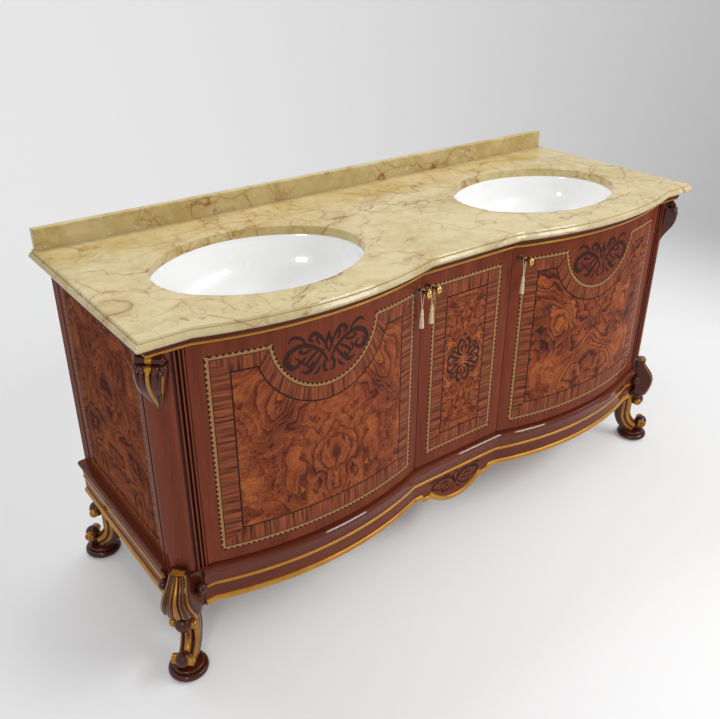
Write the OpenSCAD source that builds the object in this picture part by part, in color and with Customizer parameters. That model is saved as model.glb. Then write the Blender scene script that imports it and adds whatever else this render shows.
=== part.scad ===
/* [Case] */
// Width of the case across its two sides
case_w = 1732; // [1680:1:1860]
// Depth of the case from its back to the flat part of the doors
case_d = 598; // [575:1:640]
// How far each side bay bows out past the flat middle bay
bow = 52; // [36:1:64]
// Width of the flat middle bay
flat_w = 316; // [290:1:340]
// Flat strip between a bowed bay and its corner post
bow_margin = 13; // [11:0.5:16]
// Thickness of the case boards
board_t = 18; // [15:1:20]
// Thickness of the back panel
back_t = 12; // [9:1:15]
// Depth of the rails and of the cornice over the case
rail_t = 22; // [18:1:25]
// Height of the front and rear rails below the cornice
rail_h = 40; // [34:1:46]
// Width of each service opening in the back panel
service_w = 300; // [260:5:340]
// Height of each service opening in the back panel
service_h = 220; // [180:5:260]

/* [Heights] */
// Height of the legs below the base
leg_h = 172; // [165:1:185]
// Height of the moulded base
base_h = 109; // [105:1:120]
// Height of the doors
door_h = 570; // [520:1:620]
// Height of the cornice under the top
cornice_h = 26.5; // [25:0.5:32]
// Height of the splash board above the top
splash_h = 53; // [40:1:80]

/* [Top] */
// Thickness of the marble top
slab_t = 24; // [22:1:30]
// How far the top hangs over the case at the front and sides
overhang = 34; // [31:1:40]
// Radius of the rounded nose of the top's edge
nose_r = 8; // [7:0.5:9]
// Thickness of the splash board
splash_t = 20; // [16:1:24]
// How far the ends of the splash board stand in from the ends of the top
splash_in = 14; // [8:1:20]
// Radius of the splash board's top edges
splash_r = 3; // [2:0.5:5]

/* [Basins] */
// Distance from the middle of the top to each basin's centre
basin_x = 472; // [465:1:480]
// Distance from the doors' flat faces to the basins' centres
basin_y = 222.5; // [218:0.5:233]
// Half the length of a basin
basin_a = 271; // [255:1:275]
// Half the width of a basin
basin_b = 205; // [195:1:210]
// Radius of the round ends of a basin
basin_end_r = 160; // [155:1:170]
// Depth of a bowl below the top
bowl_depth = 150; // [140:1:160]
// Radius of the curve from a bowl's wall to its floor
bowl_curve = 136; // [125:1:138]
// Thickness of the bowl's wall
bowl_wall = 10; // [8:1:12]
// Width of the rim that is clamped under the top
rim_w = 18; // [16:1:20]
// Thickness of the rim
rim_t = 7; // [6:0.5:9]
// Radius of the drain hole
drain_r = 22.5; // [20:0.5:26]

/* [Corner posts] */
// Width of a corner post on the front
post_w = 78; // [74:1:84]
// Depth of a corner post on the side
post_d = 84; // [80:1:90]
// Radius of the quarter column at the corner
column_r = 54; // [50:1:56]
// How far the quarter column stands out from the post's core
column_step = 6; // [4:0.5:7]
// How far the post's front strip is set back from the doors' faces
strip_front_in = 2; // [1:0.5:3]
// How far the post's side strip is set in from the case's side
strip_side_in = 4; // [3:0.5:6]
// Radius of the flutes in the strips
flute_r = 3.5; // [2:0.5:4]
// Height of the quarter column's foot above the base
column_foot = 24; // [22:1:40]
// Size of the square rear posts
rear_post = 40; // [35:1:45]

/* [Base mouldings] */
// Thickness of the base boards behind their mouldings
plinth_t = 30; // [25:1:34]
// How far the base's face stands out from the doors' faces
plinth_out = 2; // [1:0.5:3]
// Radius of the bead along the top of the base
bead_r = 8; // [7:0.5:8]
// Height of the hollow under the bead
scoop_h = 34; // [30:1:36]
// Depth of the hollow under the bead
scoop_d = 6; // [4:0.5:7]
// Radius of the gilt line on the base
line_r = 4.5; // [3:0.5:5]
// Radius of the gilt edge along the bottom of the base
edge_r = 8; // [7:0.5:8]
// Radius of the gilt bead under the cornice
cornice_bead_r = 3.5; // [3:0.5:4]
// Radius of the hollow in the cornice
cove_r = 18.5; // [17:0.5:18.5]

/* [Middle drop] */
// Radius of the middle drop
drop_r = 118; // [112:1:120]
// Distance of the middle drop below the base's lower edge, gilt edge left out
drop_h = 34; // [28:1:36]
// Radius of the small lobes beside the drop
lobe_r = 20; // [16:1:24]
// Distance from the middle to each lobe's centre
lobe_x = 110; // [104:1:114]
// How far the gilt edge of the drop stands out
drop_gilt = 7; // [5:0.5:8]
// Width of the plain margin round the apron's inlay
inlay_margin = 8; // [6:1:12]
// Thickness of the apron's inlay
inlay_t = 3; // [2:0.5:4]

/* [Doors] */
// Thickness of the doors
door_t = 22; // [20:1:24]
// Gap between two doors and between a door and its post
door_gap = 1.5; // [1.5:0.5:2.5]
// Gap under the doors
low_gap = 5; // [4.5:0.5:6]
// Gap over the doors
top_gap = 1.5; // [1:0.5:2.5]
// Distance from a door's edge and face to its pivot
pivot_in = 6; // [5.5:0.5:7]
// Length of a pivot leaf
leaf_l = 40; // [34:1:42]
// Width of a pivot leaf
leaf_w = 11; // [10:0.5:11]
// Thickness of a pivot leaf
leaf_t = 2.4; // [2:0.2:3]
// Radius of a pivot pin
pin_r = 3; // [2.5:0.5:3.5]
// Length of a pivot pin beyond its leaf
pin_l = 9; // [8:0.5:12]

/* [Knobs and tassels] */
// Distance from the middle to the side doors' knobs
side_knob_x = 177; // [174:1:182]
// Distance from the middle to the middle door's knob
centre_knob_x = 140; // [134:1:142]
// Distance of the knobs below the tops of the doors
knob_drop = 28; // [24:1:36]
// Radius of a knob's rose
rose_r = 11; // [9:0.5:13]
// Radius of a knob's neck
neck_r = 4; // [3:0.25:4]
// Distance from a door's face to the middle of its knob's head
knob_reach = 40; // [38:1:44]
// Greatest radius of a knob's head
head_r = 8.5; // [8:0.5:10]
// Height of a knob's head
head_h = 28; // [24:1:34]
// Length of a tassel below its knot
tassel_l = 51; // [44:1:60]
// Radius of a tassel's skirt at its lower end
skirt_r = 7; // [6:0.5:8]

/* [Legs] */
// Distance from the back of the case to the rear legs' corners
rear_leg_y = 56; // [52:1:64]
// Radius of the round pad under a leg
pad_r = 49; // [46:1:52]
// Height of the pad
pad_h = 30; // [27:1:32]
// Half the width of a leg's shank
shank_w = 26; // [23:1:28]
// Radius of the shank's inner bend
bend_r = 41; // [38:1:44]
// Thickness of the shank, front to back
shank_t = 55; // [50:1:60]
// Radius of the toe's roll
toe_r = 20; // [18:1:22]
// Radius of the scroll under the knee
scroll_r = 22; // [20:1:24]
// Size of the square block behind a front knee
block_w = 63; // [58:1:66]
// Greatest radius of a front knee
knee_r = 67; // [62:1:70]
// Radius of a front knee at its top
knee_top_r = 34; // [30:1:38]
// Height of the knee's leaf above the base
knee_rise = 22; // [16:1:23]
// Half the width of the knee's leaf at its lower edge
fan_w = 48; // [44:1:50]
// Half the width of the knee's leaf at its top
fan_top_w = 20; // [17:1:24]

/* [Capitals] */
// Radius of the roll over a capital's leaf
roll_r = 10; // [8:0.5:11]
// Half the length of the roll
roll_l = 34; // [30:1:38]
// Length of a capital's leaf below the roll
capital_l = 110; // [100:1:125]
// Half the width of a capital's leaf at its shoulders
capital_w = 34; // [30:1:38]

/* [Hidden] */

// Colours of the woods, stone, metals and threads
mahogany = [0.36, 0.16, 0.11];
burl = [0.55, 0.26, 0.13];
lining_wood = [0.62, 0.45, 0.28];
gilt = [0.76, 0.53, 0.14];
marble = [0.84, 0.77, 0.59];
ceramic = [0.95, 0.95, 0.94];
brass = [0.80, 0.62, 0.26];
steel = [0.62, 0.62, 0.60];
thread = [0.88, 0.80, 0.58];

// Roundness of the large curves and of the small turned parts
large_fn = 360;
small_fn = 64;
// Clearance between fitted pieces that don't move
fit = 0.3;
// Extra length of a cutter past the face that it cuts
past = 1;
// Narrow step beside a bead
quirk = 0.4;

// Heights of the main levels above the floor
base_top = leg_h + base_h;
door_low = base_top + low_gap;
door_top = door_low + door_h;
cornice_low = door_top + top_gap;
slab_low = cornice_low + cornice_h;
slab_top = slab_low + slab_t;
floor_top = base_top + board_t;

// Half width of the case and depth of the whole top
hx = case_w / 2;
basin_depth = case_d - basin_y;
top_depth = case_d + overhang + bow;

// The bow is an arc through the flat middle's edge and the margin beside the post
bow_in = flat_w / 2;
bow_out = hx - post_w - bow_margin;
bow_x = (bow_in + bow_out) / 2;
bow_half = (bow_out - bow_in) / 2;
bow_r = (bow_half * bow_half + bow * bow) / (2 * bow);
bow_y = bow_r - case_d - bow;
bow_angle = asin(bow_half / bow_r) + 2;

// How far the side boards and the rear posts are set in from the case's sides
side_in = 11;
rear_in = 9;

// Inner face of the posts, of the side boards and of the rails
post_in = hx - post_w;
panel_out = hx - side_in;
panel_in = panel_out - board_t;
door_back = door_t + 2;
rail_back = door_back + rail_t;
cornice_out = 4;
column_x = hx - column_r;
column_y = case_d - column_r;
block_in = hx - block_w;
partition_in = flat_w / 2 - board_t / 2 - 1;

// Pivots of the doors
side_pivot_x = post_in - door_gap - pivot_in;
centre_half = flat_w / 2 - door_gap;
centre_pivot_x = centre_half - pivot_in;
pivot_y = -(case_d - pivot_in);
pin_play = 0.05;

// Knobs hang their tassels half way along their necks
knob_z = door_top - knob_drop;
tassel_out = 19;
cord_r = 0.8;

// Points of half a tassel's loop, across and above the middle of the knob's neck
half_loop = [
    [-1, -45], [-1, -42.5], [-1.4, -38.5], [-1.9, -34.5], [-2.4, -30.5], [-2.9, -26.5],
    [-3.4, -22.5], [-3.9, -18.5], [-4.4, -14.5], [-4.9, -10.5], [-5.4, -6.5], [-5.8, -2.5],
    [-5.5, 1.5], [-3.6, 4.5]
];
loop_top = [0, 5.8];
loop_low = half_loop[0][1];

// Sets the case's back plane, where y is 0 in the modules, behind the origin
module placed() {
    translate([0, top_depth / 2, 0]) children();
}

// Mirrors what is drawn for the right side when the side is -1
module side(s) {
    if (s < 0) mirror([1, 0, 0]) children();
    else children();
}

// Distance that the bowed front stands out from the flat line at x
function bow_at(x) =
    abs(abs(x) - bow_x) < bow_half
        ? sqrt(bow_r * bow_r - pow(abs(x) - bow_x, 2)) - (bow_r - bow)
        : 0;

// Plan of the case, grown by d
module plan2d(d) {
    translate([-hx - d, -case_d - d]) square([2 * (hx + d), case_d + d]);
    for (s = [-1, 1]) {
        intersection() {
            translate([s * bow_x, bow_y]) circle(r = bow_r + d, $fn = large_fn);
            translate([s * bow_x - bow_half - 20, -case_d - bow - 60]) square([2 * bow_half + 40, 200]);
        }
    }
}

module prism(d, z0, z1) {
    translate([0, 0, z0]) linear_extrude(z1 - z0) plan2d(d);
}

// Runs a profile of distance and height along the bowed front
module along_front(reach) {
    translate([-reach, -case_d, 0])
        rotate([90, 0, 90])
            linear_extrude(2 * reach) mirror([1, 0, 0]) children();
    for (s = [-1, 1]) {
        translate([s * bow_x, bow_y, 0])
            rotate([0, 0, -90 - bow_angle])
                rotate_extrude(angle = 2 * bow_angle, $fn = large_fn)
                    translate([bow_r, 0]) children();
    }
}

// Runs a profile of distance and height along the right side, from y0 to y1 in front of the back
module along_side(y0, y1) {
    translate([hx, -y0, 0]) rotate([90, 0, 0]) linear_extrude(y1 - y0) children();
}

// Box between two corners
module block(low, high) {
    translate(low) cube(high - low);
}

// Places the outward axes of a corner: +X points out along the diagonal
module corner_axes(y, turn) {
    translate([hx, -y, 0]) rotate([0, 0, turn]) children();
}

// Extrudes an outline of outward distance and height to both sides of the diagonal
module across(width) {
    rotate([90, 0, 0]) linear_extrude(width, center = true) children();
}

// A round bar across the diagonal
module cross_bar(out, z, r, half) {
    translate([out, 0, z]) rotate([90, 0, 0]) cylinder(r = r, h = 2 * half, center = true, $fn = small_fn);
}

// Four-centred oval: the centres and the angle where its arcs meet
side_r = (pow(basin_a - basin_end_r, 2) + basin_b * basin_b - basin_end_r * basin_end_r)
    / (2 * (basin_b - basin_end_r));
end_x = basin_a - basin_end_r;
side_y = side_r - basin_b;
meet = atan2(side_y, end_x);

module oval2d(grow) {
    for (s = [-1, 1]) {
        translate([s * end_x, 0]) circle(r = basin_end_r + grow, $fn = large_fn);
    }
    intersection() {
        translate([0, -side_y]) circle(r = side_r + grow, $fn = large_fn);
        translate([0, side_y]) circle(r = side_r + grow, $fn = large_fn);
        square([2 * (end_x + (basin_end_r + grow) * cos(meet)), 4 * basin_b], center = true);
    }
}

// Section of the top from its back to its stepped and rounded edge
module slab2d(deep) {
    translate([-deep, slab_low]) square([deep + overhang - 2 * nose_r, slab_t]);
    translate([-deep, slab_low + 1]) square([deep + overhang - nose_r - 2, slab_t - nose_r - 2]);
    translate([overhang - 2 * nose_r, slab_top - nose_r / 2 - quirk]) circle(r = nose_r / 2, $fn = small_fn);
    translate([overhang - nose_r, slab_low + nose_r + 0.5]) circle(r = nose_r, $fn = small_fn);
}

module marble_top() {
    color(marble) placed() difference() {
        intersection() {
            along_front(hx + overhang + past) slab2d(case_d);
            union() {
                for (s = [-1, 1]) side(s) along_side(0, top_depth + past) slab2d(hx);
            }
        }
        for (s = [-1, 1]) {
            translate([s * basin_x, -basin_depth, slab_low - past])
                linear_extrude(slab_t + 2 * past) oval2d(0);
        }
    }
}

// The splash board stands on the top with softened upper edges
module backsplash() {
    half = hx + overhang - splash_in;
    color(marble) placed()
        translate([-half, 0, slab_top]) rotate([90, 0, 90]) linear_extrude(2 * half)
            mirror([1, 0, 0]) difference() {
                square([splash_t, splash_h]);
                for (x = [0, splash_t - splash_r]) {
                    translate([x, splash_h - splash_r]) difference() {
                        square(splash_r + past);
                        translate([x > 0 ? 0 : splash_r, 0]) circle(r = splash_r, $fn = small_fn);
                        translate([x > 0 ? -past : splash_r, -past]) square([past, splash_r + 3 * past]);
                    }
                }
            }
}

// Point of the oval, grown by g, where its outward normal turns to the angle a
function oval_at(a, g) =
    let (turn = (a + 360) % 360, c = cos(turn), s = sin(turn))
    abs(s) <= sin(meet)
        ? [(c > 0 ? end_x : -end_x) + (basin_end_r + g) * c, (basin_end_r + g) * s]
        : [(side_r + g) * c, (s > 0 ? -side_y : side_y) + (side_r + g) * s];

// Section of the bowl from the middle of its floor up the inside, round the rim and down the outside
function bowl_section() =
    let (straight = bowl_depth - bowl_curve, outer = bowl_curve + bowl_wall, inside = 12, outside = 8)
    concat(
        [for (i = [inside : -1 : 0]) let (a = 90 * i / inside)
            [-bowl_curve * (1 - cos(a)), -straight - bowl_curve * sin(a)]],
        [[0, 0], [rim_w, 0], [rim_w, -rim_t], [bowl_wall, -rim_t]],
        [for (i = [0 : outside]) let (a = 90 * i / outside)
            [bowl_wall - outer * (1 - cos(a)), -straight - outer * sin(a)]]
    );

// Bowl and rim in one piece, as rings of points round the oval
module bowl() {
    sides = 48;
    section = bowl_section();
    m = len(section);
    points = concat(
        [for (q = section, k = [0 : sides - 1]) let (p = oval_at(360 * (k + 0.5) / sides, q[0])) [p[0], p[1], q[1]]],
        [[0, 0, section[0][1]], [0, 0, section[m - 1][1]]]
    );
    walls = [for (i = [0 : m - 2], k = [0 : sides - 1], h = [0, 1])
        let (a = i * sides + k, b = i * sides + (k + 1) % sides, c = a + sides, d = b + sides)
        h == 0 ? [a, b, d] : [a, d, c]];
    floors = [for (k = [0 : sides - 1], h = [0, 1])
        h == 0 ? [m * sides, (k + 1) % sides, k]
        : [m * sides + 1, (m - 1) * sides + k, (m - 1) * sides + (k + 1) % sides]];
    polyhedron(points = points, faces = concat(walls, floors));
}

module basin(s) {
    color(ceramic) placed() translate([s * basin_x, -basin_depth, slab_low]) difference() {
        bowl();
        translate([0, 0, -bowl_depth - bowl_wall - past])
            cylinder(r = drain_r, h = bowl_wall + 3 * past, $fn = small_fn);
    }
}

// Steel clips hold the basins' rims up against the top
module basin_clips() {
    clip_w = 24;
    clip_l = 20;
    clip_t = 3;
    lip = rim_w - bowl_wall - 1;
    clip_x = 120;
    color(steel) placed() for (s = [-1, 1], x = [-1, 1], y = [-1, 1]) {
        reach = side_r + rim_w;
        centre = asin(x * clip_x / reach);
        translate([s * basin_x, -basin_depth - y * side_y, slab_low])
            rotate([0, 0, y > 0 ? 90 - centre : -90 + centre])
                translate([reach, -clip_w / 2, 0]) {
                    translate([-lip, 0, -rim_t - clip_t]) cube([clip_l, clip_w, clip_t]);
                    translate([fit, 0, -rim_t - past]) cube([clip_l - lip - fit, clip_w, rim_t + past]);
                }
    }
}

// Stacks layers of lower height, upper height and outer distance round the case, cut to the plan drawn with them
module layered(layers, inner) {
    for (l = layers) {
        translate([0, 0, l[0]]) linear_extrude(l[1] - l[0]) intersection() {
            difference() {
                plan2d(l[2]);
                plan2d(inner);
            }
            children();
        }
    }
}

// Layers of the cornice: a flat band with a hollow above it, in small steps
cove_low = slab_low - cove_r;
cove_steps = 5;
cove_fillet = 3.5;
function cove_out(i) = let (z = cove_r * (i + 0.8) / cove_steps)
    cornice_out + cove_fillet + cove_r - sqrt(cove_r * cove_r - z * z);
cornice_layers = concat(
    [[cornice_low, cove_low, cornice_out]],
    [for (i = [0 : cove_steps - 1])
        [cove_low + cove_r * i / cove_steps, cove_low + cove_r * (i + 1) / cove_steps, cove_out(i)]]
);

// Layers of a gilt moulding on a face at out, rounded in small steps to half its height h above and below z
function bead_layers(h, out, z) = [
    [z - h, z - 0.8 * h, out + 0.4 * h], [z - 0.8 * h, z - 0.45 * h, out + 0.65 * h],
    [z - 0.45 * h, z + 0.45 * h, out + 0.8 * h],
    [z + 0.45 * h, z + 0.8 * h, out + 0.65 * h], [z + 0.8 * h, z + h, out + 0.4 * h]
];

// Plans that part the front's and the right side's pieces on the corners' mitres
mitre_out = bow + 60;
mitre_in = 60;

module front_mitre2d() {
    polygon([
        [-hx - mitre_out, -case_d - mitre_out], [hx + mitre_out, -case_d - mitre_out],
        [hx - mitre_in, -case_d + mitre_in], [-hx + mitre_in, -case_d + mitre_in]
    ]);
}

module side_mitre2d() {
    polygon([
        [hx + mitre_in, -case_d - mitre_in], [hx + mitre_in, 0], [hx - mitre_in, 0], [hx - mitre_in, -case_d + mitre_in]
    ]);
}

// Plan of the base's front between the front legs' blocks, and of its sides behind them
module between_blocks2d() {
    translate([-block_in, -case_d - mitre_out]) square([2 * block_in, mitre_out + plinth_t]);
}

module behind_blocks2d() {
    for (x = [-hx - mitre_in, hx - mitre_in]) {
        translate([x, -case_d + block_w]) square([2 * mitre_in, case_d - block_w]);
    }
}

// Plates let into a board for the leaves of a side door's or the middle door's pivot
module leaf_plate(x, z) {
    translate([x + pivot_in - 1 - leaf_l, pivot_y - leaf_w / 2, z]) cube([leaf_l, leaf_w, leaf_t]);
}

module front_cornice() {
    color(mahogany) placed() difference() {
        layered(cornice_layers, -rail_back) front_mitre2d();
        for (s = [-1, 1]) side(s) leaf_plate(side_pivot_x, cornice_low);
        leaf_plate(centre_pivot_x, cornice_low);
    }
}

module side_cornice(s) {
    color(mahogany) placed() side(s) layered(cornice_layers, -rail_back) side_mitre2d();
}

module gilt_beads() {
    color(gilt) placed()
        layered(bead_layers(cornice_bead_r, cornice_out, cornice_low + cornice_bead_r), cornice_out + fit) {
            translate([-case_w, -case_w]) square([2 * case_w, case_w]);
        }
}

module side_panel(s) {
    color(burl) placed() side(s)
        block([panel_in, -case_d + post_d, base_top], [panel_out, -rear_post, cornice_low]);
}

module back_panel() {
    half = hx - rear_in - rear_post;
    color(lining_wood) placed() difference() {
        block([-half, -back_t, base_top], [half, 0, slab_low]);
        for (s = [-1, 1]) {
            translate([s * basin_x - service_w / 2, -back_t - past, floor_top + 120])
                cube([service_w, back_t + 2 * past, service_h]);
        }
    }
}

module bottom_board() {
    color(lining_wood) placed() difference() {
        intersection() {
            prism(-door_back, base_top, floor_top);
            block([-panel_in, -case_d - bow, base_top - past], [panel_in, -back_t, floor_top + past]);
        }
        for (s = [-1, 1]) side(s) {
            block([post_in, -case_d, base_top - past], [hx, -case_d + post_d, floor_top + past]);
            block([hx - rear_in - rear_post, -rear_post, base_top - past], [hx, past, floor_top + past]);
        }
    }
}

// A partition stands behind each joint between two doors and carries the rail and the top
module partition(s) {
    color(lining_wood) placed() side(s) intersection() {
        union() {
            prism(-rail_back, floor_top, slab_low);
            prism(-door_back, floor_top, cornice_low - rail_h);
        }
        block([partition_in, -case_d - bow, floor_top], [partition_in + board_t, -back_t, slab_low]);
    }
}

module front_rail() {
    color(mahogany) placed() difference() {
        prism(-door_back, cornice_low - rail_h, cornice_low);
        prism(-rail_back, cornice_low - rail_h - past, cornice_low + past);
        for (s = [-1, 1]) side(s)
            block([post_in, -case_d, cornice_low - rail_h - past], [hx + past, past, cornice_low + past]);
    }
}

module rear_rail() {
    half = hx - rear_in - rear_post;
    color(lining_wood) placed() difference() {
        block([-half, -back_t - rail_t, cornice_low - rail_h], [half, -back_t, slab_low]);
        for (s = [-1, 1]) side(s)
            block(
                [partition_in, -back_t - rail_t - past, cornice_low - rail_h - past],
                [partition_in + board_t, past, slab_low + past]
            );
    }
}

// Plan of a right front post without its column
module post2d(grow) {
    core = column_r - column_step;
    translate([post_in - grow, -case_d + strip_front_in - grow])
        square([column_x - post_in + 2 * grow, post_d - strip_front_in + 2 * grow]);
    translate([post_in - grow, -column_y - grow])
        square([post_w - strip_side_in + 2 * grow, post_d - column_r + 2 * grow]);
    intersection() {
        translate([column_x, -column_y]) circle(r = core + grow, $fn = large_fn / 2);
        translate([post_in - grow, -case_d - grow]) square([post_w + 2 * grow, post_d + 2 * grow]);
    }
}

// The quarter column between the strips, which ends below in a round tongue
module column(grow) {
    start = 8;
    half = column_r * 0.6;
    foot = base_top + column_foot + half;
    intersection() {
        translate([0, 0, base_top]) linear_extrude(cornice_low - base_top) intersection() {
            translate([column_x, -column_y]) circle(r = column_r + grow, $fn = large_fn / 2);
            translate([column_x + start, -case_d - grow]) square([column_r, column_r - start + grow]);
        }
        corner_axes(case_d, -45) translate([-2 * column_r, 0, 0]) rotate([90, 0, 90])
            linear_extrude(4 * column_r) {
                translate([0, foot]) circle(r = half + grow, $fn = small_fn * 2);
                translate([-half - grow, foot]) square([2 * half + 2 * grow, door_h]);
            }
    }
}

module front_post(s) {
    color(mahogany) placed() side(s) difference() {
        union() {
            translate([0, 0, base_top]) linear_extrude(cornice_low - base_top) post2d(0);
            column(0);
        }
        for (x = [0.35, 0.95]) {
            translate([post_in + x * (column_x - post_in), -case_d + strip_front_in, base_top - past])
                cylinder(r = flute_r, h = door_h + 40, $fn = small_fn);
        }
        translate([hx - strip_side_in, -column_y + post_d - column_r - 16, base_top - past])
            cylinder(r = flute_r, h = door_h + 40, $fn = small_fn);
    }
}

module rear_post_at(s) {
    color(mahogany) placed() side(s)
        block([hx - rear_in - rear_post, -rear_post, base_top], [hx - rear_in, 0, cornice_low]);
}

// Half width of a capital's leaf and its radius about the post, at height z below the roll
function capital_half(t) = capital_w * (1 - pow(t, 1.25)) + 1.5 * sin(180 * t);
function capital_reach(t) =
    t < 0.12 ? 45 + 12 * sin(90 * t / 0.12)
    : 57 - 28 * (1 - cos(180 * min(1, (t - 0.12) / 0.5))) / 2;

module capital(s) {
    top = cornice_low - fit;
    roll_z = top - roll_r;
    leaf_top = roll_z - roll_r + 2;
    axis = -45;
    steps = 14;
    color(mahogany) placed() side(s) difference() {
        corner_axes(case_d, -45) {
            cross_bar(axis + 37, roll_z, roll_r, roll_l);
            for (e = [-1, 1]) translate([axis + 37, e * (roll_l - 3), roll_z]) rotate([90, 0, 0])
                cylinder(r = roll_r, h = 9, center = true, $fn = small_fn);
            intersection() {
                translate([axis, 0, 0]) rotate_extrude($fn = large_fn / 2) polygon(concat(
                    [[0, leaf_top], [45, leaf_top]],
                    [for (i = [0 : steps]) [capital_reach(i / steps), leaf_top - capital_l * i / steps]],
                    [[0, leaf_top - capital_l]]
                ));
                translate([axis, 0, 0]) rotate([90, 0, 90]) linear_extrude(120) polygon(concat(
                    [for (i = [0 : steps]) [capital_half(i / steps), leaf_top - capital_l * i / steps]],
                    [for (i = [steps : -1 : 0]) [-capital_half(i / steps), leaf_top - capital_l * i / steps]]
                ));
            }
            for (a = [-2 : 2]) translate([axis, 0, leaf_top - 6]) rotate([0, 0, a * 17])
                translate([48, 0, 0]) sphere(r = 8, $fn = small_fn);
            block([axis, -20, leaf_top - past], [axis + 42, 20, roll_z]);
        }
        translate([0, 0, base_top]) linear_extrude(cornice_low - base_top) post2d(fit);
        column(fit);
    }
}

// Section of the base: a bead, a hollow in small steps and a flat band
module plinth2d(deep) {
    scoop_top = base_top - 2 * bead_r;
    steps = 4;
    translate([-deep, leg_h]) square([deep + plinth_out, base_h]);
    translate([-deep, scoop_top]) square([deep + plinth_out + 4, 2 * bead_r]);
    translate([plinth_out + 4, base_top - bead_r]) circle(r = bead_r - quirk, $fn = small_fn);
    for (i = [0 : steps - 1]) {
        translate([-deep, scoop_top - scoop_h * (i + 1) / steps])
            square([deep + plinth_out + 1 + scoop_d * pow(1 - (i + 0.5) / steps, 2), scoop_h / steps]);
    }
}

// Outline of the base's front from its lower edge down, grown by the gilt edge's width
module drop2d(grow) {
    level = leg_h + 2 * edge_r;
    intersection() {
        union() {
            translate([-bow_in, level - grow]) square([2 * bow_in, 60]);
            for (s = [-1, 1]) translate([s * lobe_x, level + lobe_r / 3]) circle(r = lobe_r + grow, $fn = large_fn / 2);
            translate([0, level - drop_h - 2 * edge_r + drop_r]) circle(r = drop_r + grow, $fn = large_fn);
        }
        translate([-bow_in + 2, 0]) square([2 * bow_in - 4, level + 12]);
    }
}

module inlay2d(grow) {
    level = leg_h + 2 * edge_r;
    intersection() {
        translate([0, level - drop_h - 2 * edge_r + drop_r]) circle(r = drop_r - inlay_margin + grow, $fn = large_fn);
        translate([-drop_r, 0]) square([2 * drop_r, level + 32 + grow]);
    }
}

// Stands an outline of width and height on the flat middle, from depth y0 back to y1 out
module on_middle(y0, y1) {
    translate([0, -case_d - y0, 0]) rotate([90, 0, 0]) linear_extrude(y1 - y0) children();
}

module front_plinth() {
    color(mahogany) placed() difference() {
        union() {
            intersection() {
                along_front(hx) plinth2d(bow + 100);
                block([-block_in, -case_d - bow - 40, leg_h], [block_in, 0, base_top]);
            }
            on_middle(-plinth_t, plinth_out) drop2d(2 * edge_r);
        }
        prism(-plinth_t, 0, base_top + past);
        on_middle(plinth_out - inlay_t, plinth_out + past) inlay2d(0);
    }
}

module side_plinth(s) {
    color(mahogany) placed() side(s) along_side(0, case_d - block_w) plinth2d(plinth_t);
}

module rear_plinth() {
    color(lining_wood) placed()
        block([-hx + plinth_t, -plinth_t, leg_h], [hx - plinth_t, 0, base_top]);
}

module apron_inlay() {
    color(burl) placed() on_middle(plinth_out - inlay_t, plinth_out) inlay2d(-fit);
}

module gilt_lines() {
    z = base_top - 2 * bead_r - scoop_h - line_r;
    color(gilt) placed() layered(bead_layers(line_r, plinth_out, z), plinth_out + fit) {
        union() {
            between_blocks2d();
            behind_blocks2d();
        }
    }
}

// The gilt edge leaves the flat middle free, where the drop's own edge takes its place
module gilt_edges() {
    lap = 3;
    color(gilt) placed() {
        layered(bead_layers(edge_r, plinth_out, leg_h + edge_r), plinth_out + fit) {
            union() {
                difference() {
                    between_blocks2d();
                    translate([-bow_in + 2 + lap, -case_d - mitre_out]) square([2 * (bow_in - 2 - lap), mitre_out]);
                }
                behind_blocks2d();
            }
        }
        difference() {
            on_middle(plinth_out, plinth_out + drop_gilt) drop2d(2 * edge_r);
            on_middle(plinth_out - past, plinth_out + drop_gilt + past) {
                drop2d(0);
                translate([-bow_in, leg_h + 2 * edge_r]) square([2 * bow_in, 60]);
            }
        }
    }
}

// Centre of the shank's bend, out from the corner and above the floor, and the back of the shank
bend_x = 26;
bend_z = 98;
heel = bend_r + shank_t - bend_x;

// Outline of the shank: an upright that bends outwards to the toe
module shank2d() {
    translate([-heel, bend_z]) square([shank_t, leg_h - bend_z]);
    intersection() {
        translate([bend_x, bend_z]) difference() {
            circle(r = bend_r + shank_t, $fn = large_fn / 2);
            circle(r = bend_r, $fn = large_fn / 2);
        }
        translate([-heel, pad_h - 4]) square([heel + 20, bend_z - pad_h + 4]);
    }
}

// Grooves that run down the shank's outer face and round its bend
module shank_grooves() {
    for (w = [-0.36, 0.36]) {
        translate([bend_x, 2 * w * shank_w, bend_z]) rotate([90, 0, 0])
            rotate_extrude($fn = large_fn / 2) translate([bend_r, 0]) circle(r = 2.5, $fn = small_fn / 2);
        translate([shank_t - heel, 2 * w * shank_w, bend_z])
            cylinder(r = 2.5, h = leg_h, $fn = small_fn / 2);
    }
}

module pad() {
    rotate_extrude($fn = large_fn / 2) {
        square([pad_r - 5, 6]);
        square([pad_r - 8, 20]);
        translate([pad_r - 8, 12]) circle(r = 8, $fn = small_fn);
        square([pad_r - 11, pad_h - 4]);
        square([pad_r - 15, pad_h]);
    }
}

// Shank, toe and scroll of a leg, without its knee
module lower_leg() {
    toe_x = 25;
    toe_z = pad_h + toe_r + 8;
    scroll_z = leg_h - scroll_r - 10;
    difference() {
        across(2 * shank_w) shank2d();
        shank_grooves();
    }
    pad();
    translate([toe_x, 0, toe_z]) sphere(r = toe_r, $fn = small_fn);
    cross_bar(toe_x, toe_z, toe_r * 0.65, 30);
    translate([-2, 0, scroll_z]) sphere(r = scroll_r, $fn = small_fn);
    cross_bar(-2, scroll_z, scroll_r * 0.64, 36);
    block([-20, -12, scroll_z - 14], [-2, 12, scroll_z + 14]);
    block([0, -14, pad_h - 5], [toe_x, 14, toe_z]);
}

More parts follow.
